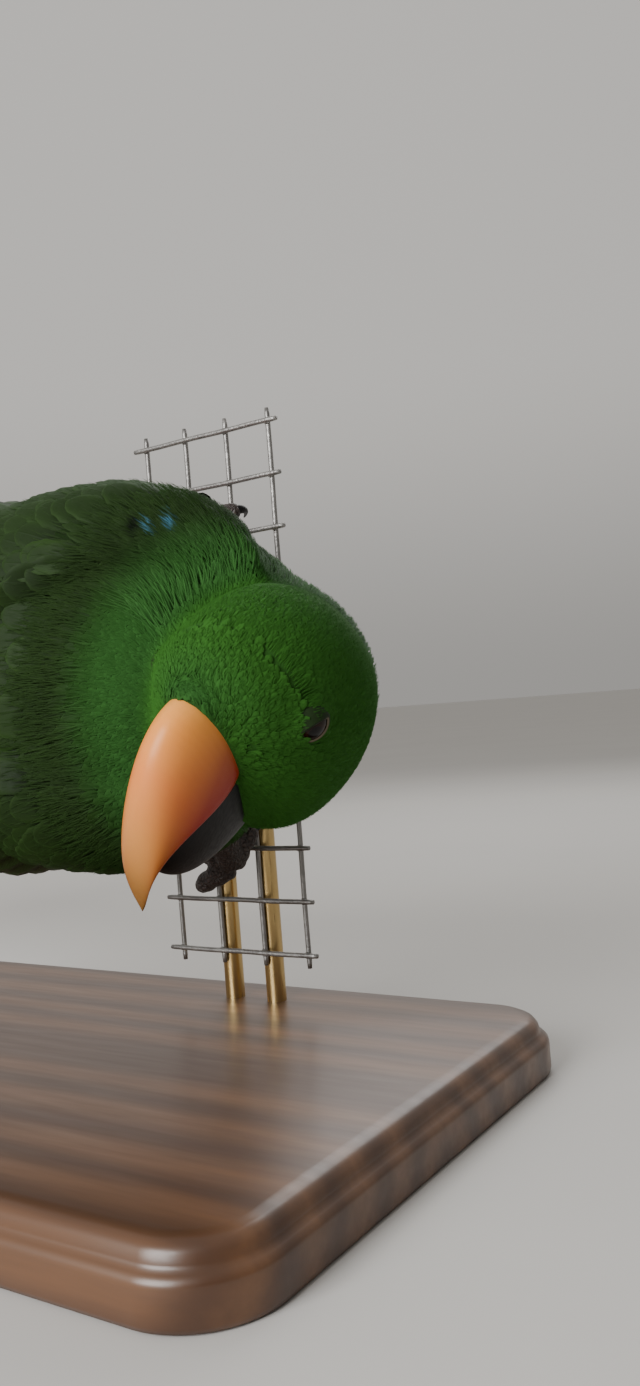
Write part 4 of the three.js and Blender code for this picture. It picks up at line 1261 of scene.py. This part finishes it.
# %% Wires with weld beads
WIRE = {
    "pitch": 12.7, "radius": 0.62, "columns": 4, "rows": 11, "stub": 3.2, "left": 9.1, "bottom": 24.5,
    "y": 44, "wave": 0.05, "end": 0.86,
}
weld = 1.7 * WIRE["radius"]
upright_x = WIRE["left"] + WIRE["pitch"] * np.arange(WIRE["columns"])
cross_z = WIRE["bottom"] + WIRE["pitch"] * np.arange(WIRE["rows"])


def wire_radius(run):
    """The wire's radius, a little less at both cut ends."""
    return WIRE["radius"] * np.where((run < run[1]) | (run > run[-2]), WIRE["end"], 1)


parts = []
for x in upright_x:
    z = np.linspace(cross_z[0] - WIRE["stub"], cross_z[-1] + WIRE["stub"], 90)
    path = np.stack([x + WIRE["wave"] * np.sin(z * 0.21 + x), 0 * z + WIRE["y"], z], -1)
    parts.append(shell(tube(path, wire_radius(z), 14)))
for z in cross_z:
    x = np.linspace(upright_x[0] - WIRE["stub"], upright_x[-1] + WIRE["stub"], 36)
    path = np.stack([x, 0 * x + WIRE["y"] - weld, z + WIRE["wave"] * np.sin(x * 0.3 + z)], -1)
    parts.append(shell(tube(path, wire_radius(x), 14)))
turn = np.linspace(0.05, math.pi - 0.05, 8)[:, None]
spin = circle(12)[None, :]
bead = join(0.85 * np.sin(turn) * np.cos(spin), 0.95 * np.cos(turn), 0.85 * np.sin(turn) * np.sin(spin))
for x in upright_x:
    for z in cross_z:
        parts.append(shell(bead + [x, WIRE["y"] - weld / 2, z]))
keep_with(make_form("perch_wires", *parts), "wire", "perch_mesh")

# %% Rods and clips
ROD = {"radius": 2.4, "top": 112, "foot": 8, "columns": [1, 2], "gap": 0.3}
CLIP = {"wall": 1.5, "height": 5, "z": [69, 107.1]}
rod_y = WIRE["y"] + WIRE["radius"] + ROD["gap"] + ROD["radius"]
front_y = WIRE["y"] - WIRE["radius"] + ROD["radius"]


def rod_form(x):
    """A lathed rod with a small chamfer at the foot and a rounded top."""
    z = np.concatenate([[ROD["foot"]], np.linspace(ROD["foot"], ROD["top"] - 1.2, 30),
                        ROD["top"] - np.array([0.7, 0.3, 0.07, 0])])[:, None]
    radius = ROD["radius"] - np.concatenate([[0.2], np.zeros(30), [0.07, 0.35, 0.9, 1.8]])[:, None]
    angle = circle(40)[None, :]
    return shell(join(x + radius * np.cos(angle), rod_y + radius * np.sin(angle), z))


def squared(v):
    """A sine or cosine pressed towards 1 and -1, which turns a circle into a rounded square."""
    return np.sign(v) * np.abs(v)**0.4


def clip_form(x, level):
    """A flat band round rod and wire: a rounded square carried along two half circles."""
    a = circle(72)[:, None]
    b = circle(24)[None, :]
    out = ROD["radius"] + ROD["gap"] + CLIP["wall"] / 2 * (1 + squared(np.cos(b)))
    centre = np.where(np.sin(a) > 0, rod_y, front_y)
    height = level + CLIP["height"] / 2 * squared(np.sin(b))
    return hoop(join(x + out * np.cos(a), centre + out * np.sin(a), height))


for number, column in enumerate(ROD["columns"], 1):
    x = upright_x[column]
    keep_with(make_form(f"brass_rod_{number}", rod_form(x)), "rod_brass", f"stand_rod_{number}")
    for row, level in enumerate(CLIP["z"], 1):
        clip = make_form(f"brass_clip_{number}_{row}", clip_form(x, level))
        keep_with(clip, "rod_brass", f"stand_clip_{number}_{row}")

# %% The base board
BASE = {"length": 206, "width": 128, "corner": 16}
MOULDING = [
    (1.2, 0), (0.3, 0.4), (0, 1.3), (0, 6.5), (0.2, 7.3), (0.9, 8), (1.6, 8.4), (1.8, 9), (2.1, 10.2),
    (2.9, 11.2), (4.2, 11.8), (6, 12),
]


def board_outline(inset, height, count=160):
    """A rectangle with round corners, by the angle a: the corner's middle + (corner - inset) times
    (cos a, sin a)."""
    a = circle(count)
    x = (BASE["length"] / 2 - BASE["corner"]) * np.sign(np.cos(a)) + (BASE["corner"] - inset) * np.cos(a)
    y = (BASE["width"] / 2 - BASE["corner"]) * np.sign(np.sin(a)) + (BASE["corner"] - inset) * np.sin(a)
    return np.stack([x, y, np.full(count, height)], -1)


board = make_form("base_board", shell(np.array([board_outline(*step) for step in MOULDING])))
keep_with(board, "base_wood", "stand_base")

# %% [markdown]
# ## Materials
# Each finish is a Principled shader fed by patterns. Patterns that several finishes share are shader
# groups: `barbs` draws the fine lines of a vane on both sides of its shaft, `mottle` gives slow and fine
# changes of tone, and `scuff` makes small pits and scratches.

# %% Node helpers
def add(tree, kind, **settings):
    """A new shader node with some of its settings."""
    made = tree.nodes.new("ShaderNode" + kind)
    for key, value in settings.items():
        setattr(made, key, value)
    return made


def feed(tree, socket, value):
    """A link from another socket, or a plain value."""
    if isinstance(value, bpy.types.NodeSocket):
        tree.links.new(value, socket)
    else:
        socket.default_value = value


def calc(tree, operation, *values):
    """A math node's result."""
    made = add(tree, "Math", operation=operation)
    for socket, value in zip(made.inputs, values):
        feed(tree, socket, value)
    return made.outputs[0]


def blend_mix(tree, share, a, b, mode="MIX"):
    """A colour mixed from two."""
    made = add(tree, "Mix", data_type="RGBA", blend_type=mode)
    feed(tree, made.inputs["Factor"], share)
    feed(tree, made.inputs["A"], a if isinstance(a, bpy.types.NodeSocket) else (*a, 1))
    feed(tree, made.inputs["B"], b if isinstance(b, bpy.types.NodeSocket) else (*b, 1))
    return made.outputs["Result"]


def new_group(name, inputs, outputs):
    """An empty shader group with named sockets."""
    tree = bpy.data.node_groups.new(name, "ShaderNodeTree")
    for label, kind, value in inputs:
        socket = tree.interface.new_socket(name=label, in_out="INPUT", socket_type="NodeSocket" + kind)
        if value is not None:
            socket.default_value = value
    for label, kind in outputs:
        tree.interface.new_socket(name=label, in_out="OUTPUT", socket_type="NodeSocket" + kind)
    return tree, tree.nodes.new("NodeGroupInput"), tree.nodes.new("NodeGroupOutput")


def place_group(tree, group, **values):
    """A group placed in a material, with its own values."""
    made = tree.nodes.new("ShaderNodeGroup")
    made.node_tree = group
    for key, value in values.items():
        feed(tree, made.inputs[key.replace("_", " ")], value)
    return made


def grey(tree, value):
    """A value as a grey colour."""
    made = add(tree, "CombineColor")
    for socket in made.inputs:
        feed(tree, socket, value)
    return made.outputs[0]


def three(tree, vector):
    """The three numbers of a vector."""
    made = add(tree, "SeparateXYZ")
    feed(tree, made.inputs[0], vector)
    return made.outputs


def kept(tree, name, output="Vector"):
    """What a mesh keeps for each point under a name."""
    return add(tree, "Attribute", attribute_name=name).outputs[output]


def colour_steps(tree, value, steps):
    """A colour by a value, from a row of (value, colour)."""
    made = add(tree, "ValToRGB")
    elements = made.color_ramp.elements
    for element, (position, tint) in zip(elements, (steps[0], steps[-1])):
        element.position, element.color = position, (*tint, 1)
    for position, tint in steps[1:-1]:
        elements.new(position).color = (*tint, 1)
    feed(tree, made.inputs[0], value)
    return made.outputs[0]


# %% The shared effects
mottle, inner, outer = new_group(
    "mottle", [("Vector", "Vector", None), ("Size", "Float", 300.0), ("Detail", "Float", 3.0)],
    [("Slow", "Float"), ("Fine", "Float")])
for label, factor in (("Slow", 1.0), ("Fine", 9.0)):
    noise = add(mottle, "TexNoise")
    feed(mottle, noise.inputs["Vector"], inner.outputs["Vector"])
    feed(mottle, noise.inputs["Scale"], calc(mottle, "MULTIPLY", inner.outputs["Size"], factor))
    feed(mottle, noise.inputs["Detail"], inner.outputs["Detail"])
    feed(mottle, outer.inputs[label], noise.outputs["Fac"])

barbs, inner, outer = new_group(
    "barbs", [("Vane", "Vector", None), ("Count", "Float", 30.0), ("Slant", "Float", 0.35)],
    [(label, "Float") for label in ("Lines", "Shaft", "Edge", "Along", "Tone")])
side, run, tone = three(barbs, inner.outputs["Vane"])
across = calc(barbs, "ABSOLUTE", side)
slanted = calc(barbs, "SUBTRACT", run, calc(barbs, "MULTIPLY", across, inner.outputs["Slant"]))
wobble = add(barbs, "TexNoise")
feed(barbs, wobble.inputs["Vector"], inner.outputs["Vane"])
wobble.inputs["Scale"].default_value = 6.0
phase = calc(barbs, "MULTIPLY", slanted, inner.outputs["Count"])
phase = calc(barbs, "ADD", phase, calc(barbs, "MULTIPLY", wobble.outputs["Fac"], 2.5))
wave = calc(barbs, "SINE", calc(barbs, "MULTIPLY", phase, 6.2832))
feed(barbs, outer.inputs["Lines"], calc(barbs, "MULTIPLY_ADD", wave, 0.5, 0.5))
shaft = calc(barbs, "SUBTRACT", 1.0, calc(barbs, "MULTIPLY", across, 11.0))
feed(barbs, outer.inputs["Shaft"], calc(barbs, "MAXIMUM", shaft, 0.0))
feed(barbs, outer.inputs["Edge"], calc(barbs, "POWER", across, 3.0))
feed(barbs, outer.inputs["Along"], run)
feed(barbs, outer.inputs["Tone"], tone)

scuff, inner, outer = new_group(
    "scuff", [("Vector", "Vector", None), ("Size", "Float", 400.0)],
    [("Pits", "Float"), ("Scratches", "Float")])
cells = add(scuff, "TexVoronoi", feature="DISTANCE_TO_EDGE")
feed(scuff, cells.inputs["Vector"], inner.outputs["Vector"])
feed(scuff, cells.inputs["Scale"], inner.outputs["Size"])
pits = calc(scuff, "MULTIPLY", cells.outputs["Distance"], 3.0)
feed(scuff, outer.inputs["Pits"], calc(scuff, "MINIMUM", pits, 1.0))
stretch = add(scuff, "Mapping")
stretch.inputs["Scale"].default_value = (1.0, 1.0, 0.06)
feed(scuff, stretch.inputs["Vector"], inner.outputs["Vector"])
lines = add(scuff, "TexNoise")
feed(scuff, lines.inputs["Vector"], stretch.outputs[0])
feed(scuff, lines.inputs["Scale"], calc(scuff, "MULTIPLY", inner.outputs["Size"], 2.0))
feed(scuff, outer.inputs["Scratches"], lines.outputs["Fac"])
print("shared effects:", [g.name for g in bpy.data.node_groups])


# %% A finish: a Principled shader with its own place on the object
def new_finish(name, roughness, **sockets):
    """A material whose constant values are set on the shader's own sockets."""
    material = bpy.data.materials.new(name)
    material.use_nodes = True
    tree = material.node_tree
    shader = tree.nodes["Principled BSDF"]
    shader.inputs["Roughness"].default_value = roughness
    for key, value in sockets.items():
        shader.inputs[key.replace("_", " ")].default_value = value
    place = add(tree, "TexCoord").outputs["Object"]
    return material, tree, shader, place


def bump(tree, shader, height, strength, distance, after=None):
    """A bump from a height, over an earlier one if given."""
    made = add(tree, "Bump")
    made.inputs["Strength"].default_value = strength
    made.inputs["Distance"].default_value = distance
    feed(tree, made.inputs["Height"], height)
    if after is not None:
        feed(tree, made.inputs["Normal"], after)
    feed(tree, shader.inputs["Normal"], made.outputs[0])
    return made.outputs[0]


def paint(tree, shader, share, a, b, mode="MIX"):
    """The base colour, mixed from two by a share."""
    feed(tree, shader.inputs["Base Color"], blend_mix(tree, share, a, b, mode))


def roughen(tree, shader, pattern, gain, least):
    """Roughness = pattern * gain + least."""
    feed(tree, shader.inputs["Roughness"], calc(tree, "MULTIPLY_ADD", pattern, gain, least))


def dress(material, *starts):
    """Gives a material to the pieces whose names start so."""
    pieces = [piece for piece in model if piece.name.startswith(starts)]
    for piece in pieces:
        piece.data.materials.append(material)
    print(material.name, "on", len(pieces), "pieces")

# %% Feathers, soft and stiff
def feather_finish(name, count, slant, roughness, line, edge, spread, root, **sockets):
    """Colour = the plumage at that place * light, where light falls to a share at the root, rises by line
    along every other barb and by edge at the rim, and differs by spread from feather to feather."""
    material, tree, shader, place = new_finish(name, roughness, **sockets)
    colour, vane = kept(tree, "plumage", "Color"), kept(tree, "vane")
    pattern = place_group(tree, barbs, Vane=vane, Count=count, Slant=slant)
    tone = place_group(tree, mottle, Vector=place, Size=90.0)
    deep = calc(tree, "MINIMUM", calc(tree, "MULTIPLY_ADD", pattern.outputs["Along"], 1.0, root), 1.0)
    light = calc(tree, "MULTIPLY_ADD", pattern.outputs["Lines"], line, 1.0 - line / 2)
    own = calc(tree, "MULTIPLY_ADD", pattern.outputs["Tone"], spread, 1 - spread / 2)
    light = calc(tree, "MULTIPLY", light, own)
    drift = calc(tree, "MULTIPLY_ADD", tone.outputs["Slow"], 1.5 * spread, 1 - 0.75 * spread)
    light = calc(tree, "MULTIPLY", light, drift)
    light = calc(tree, "MULTIPLY", light, deep)
    rim = calc(tree, "MAXIMUM", pattern.outputs["Edge"], calc(tree, "POWER", pattern.outputs["Along"], 9.0))
    light = calc(tree, "MULTIPLY", light, calc(tree, "MULTIPLY_ADD", rim, edge, 1.0))
    paint(tree, shader, 1.0, colour, grey(tree, light), "MULTIPLY")
    roughen(tree, shader, tone.outputs["Fine"], 0.2, roughness - 0.1)
    height = calc(tree, "MULTIPLY", pattern.outputs["Lines"], 0.35)
    height = calc(tree, "ADD", height, pattern.outputs["Shaft"])
    bump(tree, shader, height, 0.4, 0.00012)
    return material


GREEN_SHEEN = (0.12, 0.6, 0.06, 1)
soft = feather_finish(
    "soft_feather", count=11.0, slant=0.5, roughness=0.65, line=0.2, edge=0.25, spread=0.32, root=0.6,
    Sheen_Weight=0.06, Sheen_Roughness=0.5, Sheen_Tint=GREEN_SHEEN, Specular_IOR_Level=0.1)
velvet = feather_finish(
    "velvet", count=3.0, slant=0.5, roughness=0.75, line=0.06, edge=0.05, spread=0.14, root=0.8,
    Sheen_Weight=0.07, Sheen_Roughness=0.5, Sheen_Tint=GREEN_SHEEN, Specular_IOR_Level=0.06)
scaled = feather_finish(
    "mantle_feather", count=26.0, slant=0.4, roughness=0.6, line=0.2, edge=0.55, spread=0.34, root=0.5,
    Sheen_Weight=0.04, Sheen_Roughness=0.5, Sheen_Tint=GREEN_SHEEN, Specular_IOR_Level=0.12)
stiff = feather_finish(
    "flight_feather", count=70.0, slant=0.12, roughness=0.45, line=0.22, edge=0.2, spread=0.3, root=0.5,
    Sheen_Weight=0.05, Sheen_Roughness=0.4, Sheen_Tint=GREEN_SHEEN, Specular_IOR_Level=0.3)

down, tree, shader, place = new_finish("skin_down", 0.85, Sheen_Weight=0.1, Sheen_Tint=GREEN_SHEEN,
                                       Specular_IOR_Level=0.1)
tone = place_group(tree, mottle, Vector=place, Size=260.0)
dark = calc(tree, "MULTIPLY_ADD", tone.outputs["Slow"], 0.3, 0.2)
paint(tree, shader, dark, kept(tree, "plumage", "Color"), (0.004, 0.012, 0.003))
roughen(tree, shader, tone.outputs["Fine"], 0.2, 0.75)
bump(tree, shader, tone.outputs["Fine"], 0.4, 0.0004)

dress(down, "skin")
dress(velvet, "head")
dress(soft, "neck", "leg", "breast")
dress(scaled, "back", "covert")
dress(stiff, "wing_feathers", "tail_feathers")

# %% Horn of the bill and claws
horn, tree, shader, place = new_finish(
    "orange_horn", 0.42, Coat_Weight=0.12, Coat_Roughness=0.32, Subsurface_Weight=0.06,
    Subsurface_Scale=0.002, Subsurface_Radius=(1.0, 0.4, 0.15), Specular_IOR_Level=0.28)
run, crown, _ = three(tree, kept(tree, "horn"))
# Orange at the base, then ochre along the bill; the dark brown of the last part to the tip is painted shade.
lengthwise = colour_steps(tree, run, [
    (0.0, (0.78, 0.30, 0.03)), (0.2, (0.80, 0.23, 0.015)), (0.42, (0.70, 0.14, 0.018)),
    (0.65, (0.46, 0.15, 0.026)), (0.85, (0.19, 0.078, 0.017)), (1.0, (0.085, 0.042, 0.011))])
tone = place_group(tree, mottle, Vector=place, Size=70.0)
# Deep red on the lower sides towards the base: partly the horn's own red, partly painted shade on the sides
# turned from the light.
red_and_shaded_side = calc(tree, "MULTIPLY", calc(tree, "SUBTRACT", 1.0, crown), calc(tree, "SUBTRACT", 1.0, run))
red_and_shaded_side = calc(tree, "MINIMUM", calc(tree, "MULTIPLY", red_and_shaded_side, 1.6), 0.96)
warm = blend_mix(tree, red_and_shaded_side, lengthwise, (0.30, 0.009, 0.002))
# A pale band along the top of the bill is a painted highlight, broken up by the mottle and fading towards the
# tip.
cloudy = calc(tree, "MULTIPLY_ADD", tone.outputs["Slow"], 0.5, 0.35)
ridge_highlight = calc(tree, "MULTIPLY", calc(tree, "MAXIMUM", crown, 0.0), cloudy)
ridge_highlight = calc(tree, "MULTIPLY", ridge_highlight, calc(tree, "MULTIPLY_ADD", run, -0.8, 1.0))
paint(tree, shader, ridge_highlight, warm, (0.90, 0.41, 0.10))
roughen(tree, shader, tone.outputs["Fine"], 0.16, 0.34)
drift = calc(tree, "MULTIPLY", tone.outputs["Slow"], 14.0)
rings = calc(tree, "SINE", calc(tree, "ADD", calc(tree, "MULTIPLY", run, 150.0), drift))
rings = calc(tree, "MULTIPLY", rings, 0.12)
bump(tree, shader, calc(tree, "ADD", rings, tone.outputs["Fine"]), 0.12, 0.0003)
dress(horn, "upper_bill")

dark_horn, tree, shader, place = new_finish("black_horn", 0.45, Specular_IOR_Level=0.25)
tone = place_group(tree, mottle, Vector=place, Size=140.0)
worn = place_group(tree, scuff, Vector=place, Size=900.0)
cloudy = calc(tree, "MULTIPLY", tone.outputs["Slow"], 0.7)
paint(tree, shader, cloudy, (0.0015, 0.0015, 0.0015), (0.010, 0.010, 0.0105))
roughen(tree, shader, worn.outputs["Scratches"], 0.3, 0.34)
bump(tree, shader, worn.outputs["Scratches"], 0.15, 0.0002)
dress(dark_horn, "lower_bill", "claw_")

# %% Eyes, lids and scaly feet
wet, tree, shader, place = new_finish("wet_eye", 0.05, Coat_Weight=0.1, Coat_Roughness=0.03, IOR=1.36,
                                      Specular_IOR_Level=0.25)
off_axis, _, _ = three(tree, kept(tree, "gaze"))
iris = colour_steps(tree, off_axis, [
    (0.27, (0.002, 0.002, 0.002)), (0.34, (0.016, 0.006, 0.003)), (0.58, (0.012, 0.005, 0.002)),
    (0.66, (0.01, 0.006, 0.004))])
tone = place_group(tree, mottle, Vector=place, Size=900.0)
paint(tree, shader, calc(tree, "MULTIPLY", tone.outputs["Fine"], 0.3), iris, (0.01, 0.004, 0.002))
roughen(tree, shader, tone.outputs["Fine"], 0.04, 0.03)
dress(wet, "eyeball_")

pebbled, tree, shader, place = new_finish("foot_skin", 0.6)
tone = place_group(tree, mottle, Vector=place, Size=160.0)
worn = place_group(tree, scuff, Vector=place, Size=900.0)
scales = blend_mix(tree, tone.outputs["Slow"], (0.035, 0.024, 0.02), (0.11, 0.085, 0.072))
paint(tree, shader, worn.outputs["Pits"], (0.02, 0.014, 0.012), scales)
roughen(tree, shader, worn.outputs["Pits"], 0.2, 0.45)
bump(tree, shader, worn.outputs["Pits"], 0.7, 0.0004)
dress(pebbled, "foot_")

lid_skin, tree, shader, place = new_finish("lid_skin", 0.5, Specular_IOR_Level=0.12)
tone = place_group(tree, mottle, Vector=place, Size=260.0)
worn = place_group(tree, scuff, Vector=place, Size=4200.0)
away, lower, _ = three(tree, kept(tree, "rim"))
away = calc(tree, "MINIMUM", calc(tree, "MULTIPLY", away, 8.0), 1.0)
rim = blend_mix(tree, lower, (0.012, 0.018, 0.008), (0.24, 0.19, 0.13))
lids = blend_mix(tree, away, rim, (0.010, 0.028, 0.006))
paint(tree, shader, calc(tree, "MULTIPLY", tone.outputs["Slow"], 0.5), lids, (0.02, 0.018, 0.012))
roughen(tree, shader, worn.outputs["Pits"], 0.2, 0.4)
bump(tree, shader, worn.outputs["Pits"], 0.2, 0.0001)
dress(lid_skin, "eye_lids_")

# %% Wire, brass and wood
zinc, tree, shader, place = new_finish("galvanised", 0.45, Metallic=0.85)
tone = place_group(tree, mottle, Vector=place, Size=220.0)
worn = place_group(tree, scuff, Vector=place, Size=700.0)
paint(tree, shader, tone.outputs["Slow"], (0.16, 0.155, 0.15), (0.42, 0.41, 0.39))
roughen(tree, shader, tone.outputs["Fine"], 0.35, 0.3)
bump(tree, shader, calc(tree, "ADD", worn.outputs["Pits"], tone.outputs["Fine"]), 0.25, 0.0002)
dress(zinc, "perch_wires")

brass, tree, shader, place = new_finish("satin_brass", 0.3, Metallic=1.0)
tone = place_group(tree, mottle, Vector=place, Size=60.0)
worn = place_group(tree, scuff, Vector=place, Size=800.0)
paint(tree, shader, tone.outputs["Slow"], (0.46, 0.31, 0.12), (0.66, 0.48, 0.22))
roughen(tree, shader, worn.outputs["Scratches"], 0.3, 0.16)
bump(tree, shader, worn.outputs["Scratches"], 0.08, 0.0001)
dress(brass, "brass_")

wood, tree, shader, place = new_finish("varnished_wood", 0.4, Coat_Weight=0.3, Coat_Roughness=0.25)
stretch = add(tree, "Mapping")
stretch.inputs["Scale"].default_value = (0.09, 1.0, 1.0)
stretch.inputs["Rotation"].default_value = (0.0, 0.0, 0.03)
feed(tree, stretch.inputs["Vector"], place)
grain = add(tree, "TexNoise", noise_dimensions="3D")
grain.inputs["Scale"].default_value = 420.0
grain.inputs["Detail"].default_value = 6.0
feed(tree, grain.inputs["Vector"], stretch.outputs[0])
band = add(tree, "TexWave", wave_type="RINGS", rings_direction="X")
band.inputs["Scale"].default_value = 26.0
band.inputs["Distortion"].default_value = 5.0
band.inputs["Detail"].default_value = 3.0
feed(tree, band.inputs["Vector"], stretch.outputs[0])
bands = blend_mix(tree, band.outputs["Fac"], (0.075, 0.032, 0.014), (0.17, 0.078, 0.034))
paint(tree, shader, calc(tree, "MULTIPLY", grain.outputs["Fac"], 0.7), bands, (0.045, 0.019, 0.009))
roughen(tree, shader, grain.outputs["Fac"], 0.25, 0.25)
bump(tree, shader, grain.outputs["Fac"], 0.12, 0.0002)
dress(wood, "base_board")

# %% [markdown]
# ## Floor, light and camera
# The stand rests on a plain pale floor in soft studio light: one large key light from the upper left
# behind the camera, and a weaker light from behind the bird. The sky is brightest on the left, as the
# photograph's room is. The camera stands where the photograph's camera stood, worked out from the mesh's
# even pitch, with the same angle of view.

# %% Floor
FLOOR_HALF = 12000.0
floor_grid = FLOOR_HALF * np.array([[-1, -1, 0], [1, -1, 0], [1, 1, 0], [-1, 1, 0]])
floor = make_mesh("floor", floor_grid, [np.array([[0, 1, 2, 3]])], smooth=False)
paper, tree, shader, place = new_finish("pale_floor", 0.8)
tone = place_group(tree, mottle, Vector=place, Size=6.0)
paint(tree, shader, tone.outputs["Slow"], (0.52, 0.505, 0.485), (0.57, 0.555, 0.53))
bump(tree, shader, tone.outputs["Fine"], 0.05, 0.001)
floor.data.materials.append(paper)

# %% Light
SKY_SIDE = (-0.62, 0.50, 0.60)
SKY = [(0.0, (0.045, 0.045, 0.048)), (0.62, (0.50, 0.485, 0.46)), (1.0, (0.62, 0.60, 0.57))]
SKYLINE = {"From Min": 0.0, "From Max": 0.3, "To Min": 0.62, "To Max": 1.0}
world = bpy.data.worlds.new("pale_room")
world.use_nodes = True
tree = world.node_tree
direction = add(tree, "TexCoord").outputs["Generated"]
facing = add(tree, "VectorMath", operation="DOT_PRODUCT")
facing.inputs[1].default_value = SKY_SIDE
feed(tree, facing.inputs[0], direction)
sky = colour_steps(tree, calc(tree, "MULTIPLY_ADD", facing.outputs["Value"], 0.5, 0.5), SKY)
skyline = add(tree, "MapRange", interpolation_type="SMOOTHSTEP")
for label, value in SKYLINE.items():
    skyline.inputs[label].default_value = value
feed(tree, skyline.inputs["Value"], three(tree, direction)[2])
background = tree.nodes["Background"]
feed(tree, background.inputs["Color"], blend_mix(tree, 1.0, sky, grey(tree, skyline.outputs[0]), "MULTIPLY"))
background.inputs["Strength"].default_value = 1.0
bpy.context.scene.world = world
BIRD_MIDDLE = (0.03, 0, 0.09)


def lamp(name, place, aim, size, power):
    """A square area light at a place, turned to a point it lights."""
    data = bpy.data.lights.new(name, "AREA")
    data.shape, data.size, data.energy = "SQUARE", size, power
    light = bpy.data.objects.new(name, data)
    light.location = place
    light.rotation_euler = (Vector(aim) - Vector(place)).to_track_quat("-Z", "Y").to_euler()
    bpy.context.scene.collection.objects.link(light)


lamp("key", place=(-0.04, -0.70, 0.36), aim=BIRD_MIDDLE, size=0.4, power=8.6)
lamp("rim", place=(-0.1, 0.6, 0.6), aim=BIRD_MIDDLE, size=0.5, power=2.5)
print("lamps:", [light.name for light in bpy.data.lights])

# %% Camera
CAMERA = {
    "place": (197.40, -174.71, 83.07), "right": (0.8369, 0.5420, -0.0772), "up": (0.0710, 0.0325, 0.9970),
    "ahead": (-0.5428, 0.8398, 0.0113), "focus_pixels": 1118, "picture_height": 1386, "sensor": 36.0,
}
lens = bpy.data.cameras.new("camera")
lens.sensor_fit = "AUTO"
lens.sensor_width = CAMERA["sensor"]
lens.lens = CAMERA["focus_pixels"] / CAMERA["picture_height"] * CAMERA["sensor"]
lens.clip_start = 0.01
camera = bpy.data.objects.new("camera", lens)
turn = Matrix([CAMERA["right"], CAMERA["up"], [-v for v in CAMERA["ahead"]]]).transposed()
camera.matrix_world = Matrix.Translation(Vector(CAMERA["place"]) * MM) @ turn.to_4x4()
bpy.context.scene.collection.objects.link(camera)
bpy.context.scene.camera = camera
print("lens:", round(lens.lens, 2), "mm")

# %% Count the triangles and finish
print("triangles in all:", sum(triangles(piece) for piece in model))
